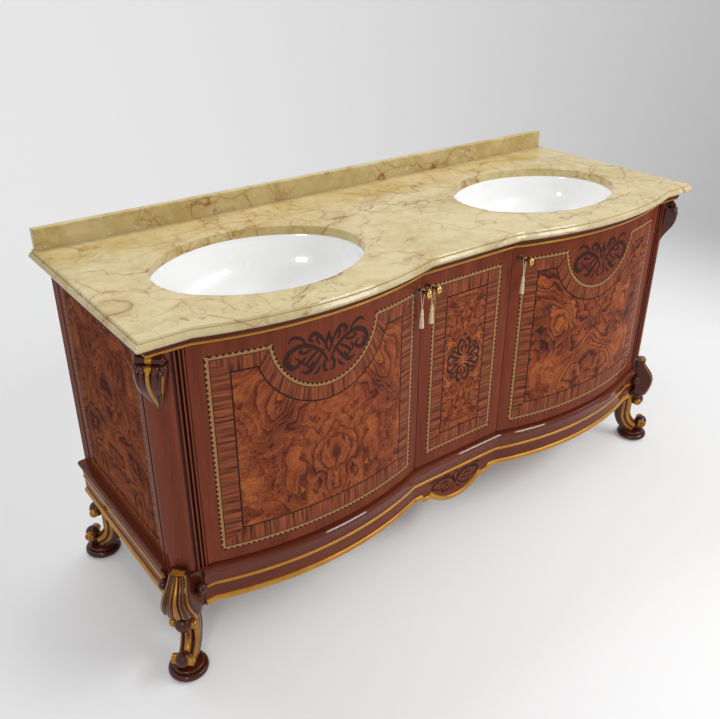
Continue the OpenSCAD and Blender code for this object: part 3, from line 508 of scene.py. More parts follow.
@dataclass(frozen=True)
class Marble(Finish):
    """Warm cream marble: slow clouds, brown veins on contours of bent noise, and pale and dark flecks."""

    cream: Colour = (0.590, 0.492, 0.280)
    honey: Colour = (0.425, 0.312, 0.112)
    vein: Colour = (0.250, 0.098, 0.030)

    def paint(self, kit: Kit) -> None:
        """Feeds the shader."""
        place = kit.scaled(kit.place(), (1.0, 1.0, 1.0), (3.1, 1.7, 0.4))
        clouds = kit.noise(kit.bent(place, 3.0, 0.25), 4.5, 5.0, 0.65)
        mottle = kit.noise(kit.bent(place, 20.0, 0.02), 26.0, 5.0, 0.7)
        long_way = kit.scaled(kit.bent(kit.bent(place, 2.6, 0.30), 14.0, 0.035), (0.75, 1.25, 1.0))
        veins = abs(kit.noise(long_way, 3.6, 3.0, 0.55) - 0.5)
        cracks = abs(kit.noise(kit.bent(place, 8.0, 0.09), 9.0, 3.0, 0.6) - 0.5)
        net = self.net(kit, kit.bent(kit.bent(place, 5.0, 0.10), 30.0, 0.012))
        worn = kit.noise(place, 42.0, 4.0, 0.7)
        strong = veins.step(0.015, 0.0) * kit.noise(place, 5.0, 2.0).step(0.42, 0.60)
        thin = cracks.step(0.016, 0.0) * kit.noise(place, 7.5, 2.0).step(0.42, 0.62)
        mesh = net.step(0.028, 0.0) * kit.noise(place, 3.3, 2.0).step(0.42, 0.62)
        halo = (veins.step(0.09, 0.0) * kit.noise(place, 4.0, 2.0).step(0.40, 0.68)
                + net.step(0.16, 0.0) * 0.25)
        smudge = halo * (mottle - 0.45).clamped() * 2.4
        tint = (clouds.step(0.34, 0.68) * 0.45 + halo * 0.45 + (mottle - 0.5) * 1.7 + 0.12
                + kit.parts(kit.place())[1] * 0.8).clamped()
        colour = kit.mix(tint, self.cream, self.honey)
        lines = (strong + thin * 0.75 + mesh * 0.65 + smudge * 0.40) * (worn * 1.5 + 0.1)
        colour = kit.mix(lines.clamped() * 0.88, colour, self.vein)
        colour = kit.mix(mottle.step(0.60, 0.72) * 0.5, colour, (0.84, 0.78, 0.60))
        kit.shade(Base_Color=colour, Roughness=0.18 + clouds * 0.08, Coat_Weight=0.3, Coat_Roughness=0.05,
                  Specular_IOR_Level=0.1)
        kit.bump(strong * -1.0 + mottle * 0.1, 0.06, 0.0004)

    @staticmethod
    def net(kit: Kit, vector: Socket) -> Value:
        """Distance from the borders of cells about 12 cm wide, which join up like cracks."""
        inputs = {"Vector": vector, "Scale": 8.0}
        return Value(kit,
                     kit.node("ShaderNodeTexVoronoi", {"feature": "DISTANCE_TO_EDGE"}, inputs).outputs[0])


@dataclass(frozen=True)
class Glaze(Finish):
    """White glazed ceramic, a little uneven under its glaze."""

    white: Colour = (0.87, 0.875, 0.88)

    def paint(self, kit: Kit) -> None:
        """Feeds the shader."""
        cloud = kit.noise(kit.place(), 7.0, 2.0)
        kit.shade(Base_Color=kit.mix(cloud, self.white, tuple(c * 0.965 for c in self.white)),
                  Roughness=0.25 + cloud * 0.04, Coat_Weight=1.0, Coat_Roughness=0.02)
        kit.bump(cloud, 0.04, 0.002)


@dataclass(frozen=True)
class Metal(Finish):
    """Turned or rolled metal with fine tool lines and a slow tarnish."""

    bright: Colour
    dull: Colour
    rough: float
    lines: float = 600.0

    def paint(self, kit: Kit) -> None:
        """Feeds the shader."""
        place = kit.place()
        tarnish = kit.noise(place, 70.0, 4.0, 0.6)
        turned = kit.noise(kit.scaled(place, (0.1, 0.1, 1.0)), self.lines, 2.0)
        kit.shade(Base_Color=kit.mix(tarnish.step(0.35, 0.75), self.bright, self.dull), Metallic=1.0,
                  Roughness=self.rough + turned * 0.1)
        kit.bump(turned, 0.1, 0.0002)


@dataclass(frozen=True)
class Thread(Finish):
    """Twisted silk thread: fine strands along the map's second direction, soft and a little shiny."""

    pale: Colour = (0.88, 0.77, 0.52)
    deep: Colour = (0.50, 0.34, 0.14)
    strands: float = 90.0

    def paint(self, kit: Kit) -> None:
        """Feeds the shader."""
        around, along, _ = kit.parts(kit.map())
        twist = ((around * self.strands + along * 40.0) * math.tau).sine() * 0.5 + 0.5
        tone = kit.noise(kit.place(), 420.0, 3.0)
        kit.shade(Base_Color=kit.mix((twist * 0.6 + tone * 0.4).clamped(), self.deep, self.pale),
                  Roughness=0.55 + tone * 0.15, Sheen_Weight=0.4, Sheen_Roughness=0.4)
        kit.bump(twist, 0.35, 0.0003)


@dataclass(frozen=True)
class Floor(Finish):
    """A pale floor with a painted pool of light that holds the object's shadow, and farther away a pale
    backdrop.
    """

    # painted pool of light: the floor's paint is paler near the object (inner) than farther out (outer)
    inner: Colour = (0.975, 0.985, 1.0)
    outer: Colour = (0.800, 0.808, 0.820)
    near: Colour = (1.0, 1.0, 1.0)
    # painted falloff of light on the backdrop: pale at the picture's left, darker at its right
    left: Colour = (0.800, 0.800, 0.803)
    right: Colour = (0.440, 0.440, 0.445)
    glow: float = 0.12

    def backdrop(self, kit: Kit, x: Value, y: Value, reach: Value, middle: Any = 0.5) -> Socket:
        """Works out the backdrop's colour with a painted falloff of light: paler at the picture's left than at
        its right.

        Args:
            x: how far the point or direction lies along the unit.
            y: how far it lies towards the wall.
            reach: the distance that x and y are shares of.
            middle: the tone straight ahead, from 0 for the left colour.

        Returns:
            The colour.
        """
        return kit.mix(((x * 0.80 - y * 0.60) / reach + middle).clamped() ** 2.0, self.left, self.right)

    @staticmethod
    def seen(kit: Kit) -> Value:
        """1 on the rays that show the backdrop: the camera's, mirrored and refracted ones."""
        rays = kit.node("ShaderNodeLightPath", {}, {}).outputs
        camera, mirrored, bent = (Value(kit, rays[f"Is {kind} Ray"])
                                  for kind in ("Camera", "Glossy", "Transmission"))
        return (camera + mirrored + bent).clamped()

    def paint(self, kit: Kit) -> None:
        """Feeds the shader: paint near the origin, and for camera and mirror rays a backdrop beyond."""
        x, y, _ = kit.parts(kit.place())
        away = (x * x + y * y) ** 0.5
        grain = kit.noise(kit.place(), 3.0, 2.0)
        # painted pool of light: paler paint within 0.4 m of the origin, falling to the outer tone by 1.6 m
        paint = kit.mix(away.step(0.4, 1.6), self.inner, self.outer)
        kit.shade(Base_Color=paint, Roughness=0.85, Specular_IOR_Level=0.1)
        far = away.step(1.0, 3.4)
        shown = kit.mix(far, self.near, self.backdrop(kit, x, y, away + 1.0, 0.49 + grain * 0.02))
        glow = kit.node("ShaderNodeEmission", {}, {"Color": shown})
        share = self.seen(kit) * (far * (1.0 - self.glow) + self.glow)
        mixed = kit.node("ShaderNodeMixShader", {}, {0: share, 1: kit.shader.outputs[0], 2: glow.outputs[0]})
        out = next(n for n in kit.tree.nodes if n.type == "OUTPUT_MATERIAL")
        kit.tree.links.new(mixed.outputs[0], out.inputs["Surface"])


class Sky(Kit):
    """The node tree of the world."""

    def __init__(self, world: bpy.types.World) -> None:
        """Keeps the world's tree and its shader."""
        world.use_nodes = True
        self.tree = world.node_tree
        self.shader = self.tree.nodes["Background"]

    def make(self, light: Colour) -> None:
        """Lights the object evenly with that colour and carries the floor's backdrop on above the horizon."""
        x, y, _ = self.parts(self.node("ShaderNodeTexCoord", {}, {}).outputs["Generated"])
        shown = Floor().backdrop(self, x, y, (x * x + y * y) ** 0.5)
        self.shade(Color=self.mix(Floor.seen(self), light, shown), Strength=1.0)


# Curves and surfaces


def spline(points: Sequence[Sequence[float]], samples: int) -> Array:
    """Catmull-Rom curve through points.

    Each span is a cubic whose slope at a point is half the chord between that point's neighbours.

    Args:
        points: the points that the curve passes.
        samples: how many points come back.

    Returns:
        The curve's points, one per row.
    """
    p = np.asarray(points, float)
    p = np.vstack([2 * p[0] - p[1], p, 2 * p[-1] - p[-2]])
    t = np.linspace(0, len(p) - 3, samples)
    i = np.minimum(t.astype(int), len(p) - 4)
    u = (t - i)[:, None]
    a, b, c, d = p[i], p[i + 1], p[i + 2], p[i + 3]
    return 0.5 * (2 * b + (c - a) * u + (2 * a - 5 * b + 4 * c - d) * u**2 + (3 * b - a - 3 * c + d) * u**3)


def arc(cx: float, cy: float, r: float, start: float, end: float, samples: int) -> Array:
    """Points of a circle's arc: the centre plus r times the cosine and sine of angles in degrees."""
    a = np.radians(np.linspace(start, end, samples))
    return np.stack([cx + r * np.cos(a), cy + r * np.sin(a)], -1)


def flattened(cx: float, cy: float, r: float, angles: Sequence[float]) -> Array:
    """An arc from the first to the last of four angles in degrees, with a flat between the middle two.

    The flat is the chord between them. A point close to each of its ends keeps the shading flat in between.
    """
    first, last = arc(cx, cy, r, angles[0], angles[1], 6), arc(cx, cy, r, angles[2], angles[3], 10)
    flat = [first[-1] * (1 - t) + last[0] * t for t in (0.05, 0.95)]
    return np.vstack([first, flat, last])


def over(r: Union[Array, float], off: Array) -> Array:
    """How high a circle of radius r stands over its centre at an offset, and 0 beyond it."""
    return np.sqrt(np.maximum(r**2 - off**2, 0))


def quarter(share: Array) -> Array:
    """A quarter circle's rise from 0 to 1 as the share goes from 0 to 1, and 1 beyond."""
    return over(1.0, 1 - np.clip(share, 0, 1))


def bell(off: Array, width: float) -> Array:
    """A bell curve: 1 where the offset is 0, and 1 / e where it is the width."""
    return np.exp(-((off / width) ** 2))


def fall(share: Array) -> Array:
    """Half a cosine that falls from 1 to 0 as the share goes from 0 to 1."""
    return (1 + np.cos(np.pi * np.clip(share, 0, 1))) / 2


def lengths(points: Array, axis: int) -> Array:
    """Distance travelled along an axis of a grid of points, starting at 0, in the points' unit."""
    steps = np.linalg.norm(np.diff(points, axis=axis), axis=-1)
    first = np.zeros_like(np.take(steps, [0], axis=axis))
    return np.cumsum(np.concatenate([first, steps], axis=axis), axis=axis)


def closed(profile: Array) -> Array:
    """A profile with its first point again at its end."""
    return np.vstack([profile, profile[:1]])


def poled(profile: Array) -> Array:
    """A turned profile whose radius is never below 0, and 0 at both ends."""
    radius = np.maximum(profile[:, 0], 0.0)
    radius[[0, -1]] = 0.0
    return np.column_stack([radius, profile[:, 1]])


def raised(plan: Array, z: Union[Array, float]) -> Array:
    """Points of x and y with their heights, or all at one height."""
    return np.concatenate([plan, np.broadcast_to(z, (*plan.shape[:-1], 1))], -1)


def squares(rows: int, cols: int) -> Array:
    """The four corners of each square of a grid whose points are numbered row by row."""
    ids = np.arange(rows * cols).reshape(rows, cols)
    return np.stack([ids[:-1, :-1], ids[1:, :-1], ids[1:, 1:], ids[:-1, 1:]], -1).reshape(-1, 4)


def linked(name: str, data: bpy.types.ID) -> bpy.types.Object:
    """A new object in the scene that shows a mesh, a lamp or a camera."""
    made = bpy.data.objects.new(name, data)
    bpy.context.scene.collection.objects.link(made)
    return made


def shrunk(outline: Array, inset: float) -> Array:
    """A closed outline moved inwards.

    Each corner moves along the sum of its two edges' inward normals, divided by one plus their product, which
    keeps every edge at the same distance.

    Args:
        outline: corners in order, counter-clockwise, without a repeated last one.
        inset: the distance.

    Returns:
        The moved corners.
    """
    ahead = np.roll(outline, -1, axis=0) - outline
    ahead /= np.maximum(np.linalg.norm(ahead, axis=1, keepdims=True), 1e-9)
    after = np.stack([-ahead[:, 1], ahead[:, 0]], -1)
    before = np.roll(after, 1, axis=0)
    scale = 1 + np.sum(after * before, axis=1, keepdims=True)
    return outline + inset * (after + before) / np.maximum(scale, 0.4)


@dataclass
class Patch:
    """A grid of points in case millimetres, with its map, its gilding (which on the posts marks the flutes for
    painted shade) and its material's number.
    """

    points: Array
    mapping: Optional[Array] = None
    gilt: Optional[Array] = None
    finish: int = 0
    caps: bool = False

    def map_or_metres(self) -> Array:
        """The patch's map, or else the metres along its rows and columns."""
        if self.mapping is not None:
            return self.mapping
        return np.stack([lengths(self.points, 0), lengths(self.points, 1)], -1) / MM

    def mirrored(self) -> "Patch":
        """The patch on the other side of the case's middle."""
        return Patch(self.points * MIRROR, self.mapping, self.gilt, self.finish, self.caps)

    @classmethod
    def slab(cls, face: Array, back: Array, finish: int = 0) -> "Patch":
        """A thin closed slab: a face, the outer columns of its back, and the face's first column again."""
        return cls(np.concatenate([face, back[:, [-1, 0]], face[:, :1]], 1), finish=finish, caps=True)


class Part:
    """Makes meshes from patches and gives them their body and place."""

    @staticmethod
    def place(points: Array) -> Array:
        """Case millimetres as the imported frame's metres."""
        return (np.asarray(points, float) + [0.0, BACK_SHIFT, 0.0]) / MM

    @staticmethod
    def make(name: str, patches: Sequence[Patch], finishes: Sequence[Material], body: Body, slot: Slot,
             replaced: Sequence[str] = (), crease: float = 32.0) -> bpy.types.Object:
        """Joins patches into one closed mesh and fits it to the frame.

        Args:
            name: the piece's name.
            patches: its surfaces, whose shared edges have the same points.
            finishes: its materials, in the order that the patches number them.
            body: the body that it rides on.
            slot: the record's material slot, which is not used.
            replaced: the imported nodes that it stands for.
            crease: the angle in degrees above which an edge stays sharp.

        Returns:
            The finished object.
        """
        verts, uvs, gilts, faces, marks = [], [], [], [], []
        base = 0
        for patch in patches:
            rows, cols = patch.points.shape[:2]
            quads = (squares(rows, cols) + base).tolist()
            if patch.caps:
                first = base + np.arange(cols - 1)
                quads += [first[::-1].tolist(), (first + (rows - 1) * cols).tolist()]
            faces += quads
            marks += [patch.finish] * len(quads)
            verts.append(patch.points.reshape(-1, 3))
            uvs.append(patch.map_or_metres().reshape(-1, 2))
            gilts.append(np.zeros(rows * cols) if patch.gilt is None else patch.gilt.reshape(-1))
            base += rows * cols
        mesh = bpy.data.meshes.new(name)
        mesh.from_pydata(Part.place(np.vstack(verts)).tolist(), [], faces)
        loops = np.zeros(len(mesh.loops), np.int32)
        mesh.loops.foreach_get("vertex_index", loops)
        mesh.uv_layers.new(name="map").data.foreach_set("uv",
                                                        np.vstack(uvs)[loops].astype(np.float32).ravel())
        gilt = mesh.attributes.new("gilt", "FLOAT", "POINT")
        gilt.data.foreach_set("value", np.concatenate(gilts).astype(np.float32))
        mesh.polygons.foreach_set("material_index", np.array(marks, np.int32))
        work = bmesh.new()
        work.from_mesh(mesh)
        bmesh.ops.remove_doubles(work, verts=work.verts, dist=2e-6)
        bmesh.ops.dissolve_degenerate(work, edges=work.edges, dist=1e-7)
        bmesh.ops.recalc_face_normals(work, faces=work.faces)
        work.to_mesh(mesh)
        work.free()
        mesh.polygons.foreach_set("use_smooth", np.ones(len(mesh.polygons), bool))
        mesh.set_sharp_from_angle(angle=math.radians(crease))
        for finish in finishes:
            mesh.materials.append(finish)
        piece = linked(name, mesh)
        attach(piece, body.value)
        if replaced:
            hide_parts(*replaced)
        log.info("%s: %d faces", name, len(mesh.polygons))
        return piece

    @staticmethod
    def pair(name: str, patches: Sequence[Patch], finishes: Sequence[Material], slot: Slot, node: str = "",
             crease: float = 32.0) -> None:
        """Makes the right piece and its mirrored copy at the left, both on the case.

        Args:
            name: the pieces' name, with {} for the side.
            patches: the right piece's surfaces.
            finishes: their materials.
            slot: the record's material slot.
            node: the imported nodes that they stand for, with {} for the side, if any.
            crease: the angle in degrees above which an edge stays sharp.
        """
        for side, made in (("right", patches), ("left", [p.mirrored() for p in patches])):
            Part.make(name.format(side), made, finishes, Body.CASE, slot,
                      [node.format(side)] if node else [], crease)

    @staticmethod
    def stacked(outline: Array, z0: float, z1: float, ease: float = 0.8) -> Patch:
        """An upright solid on a plan, with eased upper and lower edges.

        Args:
            outline: the plan's corners, counter-clockwise, without a repeated last one.
            z0: the lower height.
            z1: the upper height.
            ease: how far the plan shrinks at both ends, over the same height.

        Returns:
            The closed patch, whose rows are the plan at four heights.
        """
        small = shrunk(outline, ease)
        levels = ((small, z0), (outline, z0 + ease), (outline, z1 - ease), (small, z1))
        return Patch(np.stack([raised(closed(plan), z) for plan, z in levels]), caps=True)

    @staticmethod
    def turned(profile: Array, frame_of: Callable[[Array, Array, Array], Array], sides: int = 48,
               ripple: Optional[Callable[[Array, Array], Array]] = None, gilt: float = 0.0,
               finish: int = 0) -> Patch:
        """A turned form: each profile point's radius is carried round the axis.

        Args:
            profile: radius and height of each point, from one pole to the other.
            frame_of: turns two radial parts and a height into case millimetres.
            sides: how many points there are round the axis.
            ripple: a factor on the radius from the angle and the profile's row.
            gilt: the share of gilding.
            finish: the material's number.

        Returns:
            The patch.
        """
        angle = np.linspace(0, math.tau, sides + 1)[None, :]
        radius = profile[:, :1] * (np.ones_like(angle) if ripple is None else ripple(angle, profile[:, 1:]))
        points = frame_of(radius * np.cos(angle), radius * np.sin(angle), profile[:, 1:] + 0 * angle)
        share = np.linspace(0, 1, sides + 1)[None, :] + 0 * profile[:, :1]
        along = lengths(profile, 0)[:, None] / MM + 0 * angle
        return Patch(points, np.stack([share, along], -1), np.full(radius.shape, gilt), finish)


@dataclass(frozen=True)
class BowFront:
    """The case's outline: flat strips at the ends and in the middle, and two bows, arcs of one radius."""

    half: float = 866.0
    depth: float = 598.0
    bow: float = 52.0
    flat: float = 158.0
    margin: float = 775.0

    @property
    def mid(self) -> float:
        """Distance from the middle to a bow's centre."""
        return (self.flat + self.margin) / 2

    @property
    def radius(self) -> float:
        """The bows' radius: half the chord squared plus the bow squared, over twice the bow."""
        chord = (self.margin - self.flat) / 2
        return (chord**2 + self.bow**2) / (2 * self.bow)

    @property
    def centre_y(self) -> float:
        """Depth of the bows' centres."""
        return self.radius - self.depth - self.bow

    def chord(self, d: Array) -> Array:
        """Half the width of a bow where the outline is grown by d: where its circle meets the flat line."""
        return np.sqrt(2 * self.bow * (self.radius + d) - self.bow**2)

    def front_y(self, x: Array, d: Union[Array, float] = 0.0) -> Array:
        """Depth of the front grown by d at x: a bow's circle inside its chord, the flat line beside it."""
        off = np.abs(x) - self.mid
        circle = self.centre_y - over(self.radius + d, off)
        return np.where(np.abs(off) < self.chord(np.asarray(d, float)), circle, -self.depth - d)

    def front(self, d: Array, end: Union[Array, float], samples: int = 44) -> Array:
        """The front from the right end to the left one, for several distances at once.

        Args:
            d: how far each line stands out from the case.
            end: where the lines start, to the right of the middle.
            samples: points on each bow.

        Returns:
            Points by place along the front, line, and x and y.
        """
        d = np.atleast_1d(np.asarray(d, float))
        turn = np.arcsin(self.chord(d) / (self.radius + d))
        a = np.linspace(1, -1, samples + 1)[:, None] * turn
        bow = np.stack([self.mid + (self.radius + d) * np.sin(a),
                        self.centre_y - (self.radius + d) * np.cos(a)], -1)
        start = np.stack([np.broadcast_to(end, d.shape), -self.depth - d], -1)[None]
        half = np.concatenate([start, bow])
        return np.concatenate([half, half[::-1] * MIRROR[:2]])

    def around(self, d: Array) -> Array:
        """The right side, the front and the left side, mitred at the corners."""
        d = np.atleast_1d(np.asarray(d, float))
        back = np.stack([self.half + d, np.zeros_like(d)], -1)[None]
        return np.concatenate([back, self.front(d, self.half + d), back * MIRROR[:2]])

    def side(self, d: Array, y0: float, y1: float) -> Array:
        """The right side from depth y0 to depth y1."""
        d = np.atleast_1d(np.asarray(d, float))
        return np.stack([np.stack([self.half + d, np.full_like(d, y)], -1) for y in (y0, y1)])


CASE = BowFront()


def carried(path: Array, profile: Array) -> Patch:
    """A profile of distance and height carried along a path that was worked out for those distances."""
    return Patch(raised(path, profile[None, :, 1:]), caps=True)


def moulding(line: Callable[[Array], Array], profile: Array) -> Patch:
    """A moulding with a closed profile along a line of the case."""
    loop = closed(profile)
    return carried(line(loop[:, 0]), loop)


# Top, splash board and bowls


@dataclass(frozen=True)
class Oval:
    """A four-centred oval: round ends joined by flatter arcs."""

    a: float = 271.0
    b: float = 205.0
    end_r: float = 160.0

    @property
    def side_r(self) -> float:
        """Radius of the flatter arcs, which meet the ends without a kink."""
        return ((self.a - self.end_r) ** 2 + self.b**2 - self.end_r**2) / (2 * (self.b - self.end_r))

    def at(self, angle: Array, grow: Array) -> Array:
        """Points where the outward normal has an angle.

        A point is the centre of its arc plus the arc's radius, grown, along the normal: the end's arc where
        the sine is below that of the meeting line, and the side's arc elsewhere.
        """
        end_x, side_y = self.a - self.end_r, self.side_r - self.b
        c, s = np.cos(angle), np.sin(angle)
        on_end = np.abs(s) <= side_y / math.hypot(side_y, end_x)
        x = np.where(on_end, np.sign(c) * end_x + (self.end_r + grow) * c, (self.side_r + grow) * c)
        y = np.where(on_end, (self.end_r + grow) * s, -np.sign(s) * side_y + (self.side_r + grow) * s)
        return np.stack([x, y], -1)

    def towards(self, direction: Array) -> Array:
        """Points of the oval seen from its centre in directions, in radians."""
        angle = np.linspace(-math.pi, math.pi, 2881)
        points = self.at(angle, 0.0)
        seen = np.unwrap(np.arctan2(points[:, 1], points[:, 0]))
        radius = np.interp(direction, seen, np.hypot(points[:, 0], points[:, 1]), period=math.tau)
        return np.stack([radius * np.cos(direction), radius * np.sin(direction)], -1)


@dataclass
class Top:
    """The marble top with its two bowls and the splash board."""

    low: float = SLAB_LOW
    thick: float = 24.0
    overhang: float = 34.0
    ease: float = 1.5
    basin_x: float = 472.0
    basin_y: float = -375.5
    oval: Oval = field(default_factory=Oval)
    drain_r: float = 22.5
    bowl_depth: float = 150.0
    bowl_curve: float = 136.0
    bowl_wall: float = 10.0
    bowl_rim: float = 18.0
    splash_high: float = 53.0
    splash_thick: float = 20.0
    splash_inset: float = 14.0
    splash_r: float = 3.0

    @property
    def high(self) -> float:
        """Height of the top's upper face."""
        return self.low + self.thick

    def edge(self) -> Array:
        """The edge's profile from the upper face down: a small bead, a quirk and a round nose over a flat."""
        bead_r, nose_r = 4.6, 9.0
        bead = flattened(self.overhang - 13.0, self.high - bead_r, bead_r, (90, 62, 4, -35))
        nose = flattened(self.overhang - nose_r, self.low + nose_r, nose_r, (72, 61, 6, -90))
        return np.vstack([bead, nose, [[self.overhang - 15.0, self.low]]])

    def mouth(self, line: Array, grow: float) -> Array:
        """The right bowl's mouth, grown, where the lines from its centre to a line's points cross it."""
        centre = np.array([self.basin_x, self.basin_y])
        away = line - centre
        inner = self.oval.towards(np.arctan2(away[:, 1], away[:, 0]))
        return centre + inner * (1 + grow / np.linalg.norm(inner, axis=1, keepdims=True))

    def ring(self, level: float, line: Array, grow: float) -> Patch:
        """Half of a flat face round the right bowl: rows run straight from its grown mouth to a line."""
        share = np.linspace(0, 1, 9)[None, :, None]
        return Patch(raised(self.mouth(line, grow)[:, None] * (1 - share) + line[:, None] * share, level))

    def outline(self, d: float) -> Array:
        """The right half's outline where it stands out by d: front, side, back and middle."""
        around = CASE.around(np.array([d]))[:, 0]
        right = around[: len(around) // 2][::-1]
        middle = np.linspace([0.0, right[0, 1]], right[0], 6)[:-1]
        side = np.linspace(right[-2], right[-1], 12)[1:-1]
        back = np.linspace(right[-1], [0.0, 0.0], 24)
        seam = np.linspace([0.0, 0.0], [0.0, right[0, 1]], 12)[1:]
        return np.vstack([middle, right[:-1], side, back, seam])

    def slab(self, marble: Material) -> None:
        """Makes the marble top.

        Both faces are rings round the bowls' mouths. Then come the mouths' walls, the moulded edge, the flat
        back and the patches that close the edge's profile at the back corners.
        """
        edge = self.edge()
        upper, lower = self.outline(edge[0, 0]), self.outline(edge[-1, 0])
        wall = [raised(self.mouth(line, grow), z) for line, grow, z in (
            (upper, self.ease, self.high), (upper, 0.4, self.high - 0.5), (upper, 0.0, self.high - self.ease),
            (lower, 0.0, self.low))]
        path = CASE.around(edge[:, 0])
        rim = raised(path, edge[None, :, 1:])[: len(path) // 2][::-1]
        to_middle = np.array([0.0, 1.0, 1.0])
        front = np.concatenate([rim[:1] * to_middle, rim])
        middle = np.linspace(front[0], front[1], 6)[:-1]
        side = np.linspace(front[-2], front[-1], 12)[1:]
        back = np.linspace(front[-1], front[-1] * to_middle, 24)[:, [0, -1]]
        share = np.linspace(0, 1, len(edge))[:, None]
        faces = [self.ring(self.high, upper, self.ease), self.ring(self.low, lower, 0.0),
                 Patch(np.stack(wall, 1)), Patch(np.concatenate([middle, front[1:-1], side])), Patch(back),
                 Patch(np.stack([front[-1], front[-1, 0] * (1 - share) + front[-1, -1] * share], 1))]
        Part.make("top_slab", faces + [f.mirrored() for f in faces], [marble], Body.CASE, Slot.MARBLE,
                  ["marble_top"], 28.0)

    def splash(self, marble: Material) -> None:
        """Makes the splash board: a closed profile with rounded upper edges, carried along x."""
        half, r, ease = self.overhang + CASE.half - self.splash_inset, self.splash_r, 0.8
        top, front = self.high + self.splash_high, -self.splash_thick
        profile = np.vstack([[[0.0, self.high], [front, self.high]], arc(front + r, top - r, r, 180, 90, 6),
                             arc(-r, top - r, r, 90, 0, 6)])
        rows = []
        for x, inset in ((-half, ease), (ease - half, 0.0), (half - ease, 0.0), (half, ease)):
            ring = closed(shrunk(profile[::-1], inset)[::-1])
            rows.append(np.column_stack([np.full(len(ring), x), ring]))
        Part.make("splash_board", [Patch(np.stack(rows), caps=True)], [marble], Body.CASE, Slot.MARBLE,
                  ["backsplash"])

    def bowl_profile(self) -> Array:
        """The oval's growth and height below the top along the bowl: floor, inner wall, rim, outer wall."""
        curve, wall, rim = self.bowl_curve, self.bowl_wall, self.bowl_rim
        inner = arc(-curve, curve - self.bowl_depth, curve, -90, 0, 26)
        outer = arc(-curve, curve - self.bowl_depth, curve + wall, 0, -90, 22)
        lip = [[0.0, -0.8], [0.8, 0.0], [rim - 1.0, 0.0], [rim, -1.0], [rim, -6.0], [rim - 1.0, -7.0],
               [wall, -7.0]]
        return np.vstack([inner, lip, outer])

    def bowls(self, glaze: Material) -> None:
        """Makes the bowls: the profile carried round the oval, closed by a drilled floor."""
        angle = np.linspace(-math.pi, math.pi, 145)
        profile = self.bowl_profile()
        shell = raised(self.oval.at(angle[None, :], profile[:, :1]), profile[:, 1:, None])
        hole = self.drain_r * np.stack([np.cos(angle), np.sin(angle), 0 * angle], -1)
        share = np.linspace(0, 1, 6)[:, None, None]
        floor, under = (line * (1 - share) + (hole + [0, 0, line[0, 2]]) * share
                        for line in (shell[0], shell[-1]))
        wall = np.stack([floor[-1], under[-1]])
        for side, name in ((-1, "left"), (1, "right")):
            shift = np.array([side * self.basin_x, self.basin_y, self.low])
            patches = [Patch(points + shift) for points in (shell, floor, under, wall)]
            Part.make(f"{name}_bowl", patches, [glaze], Body.CASE, Slot.CERAMIC, [f"{name}_basin"], 50.0)


# Mouldings, base and posts


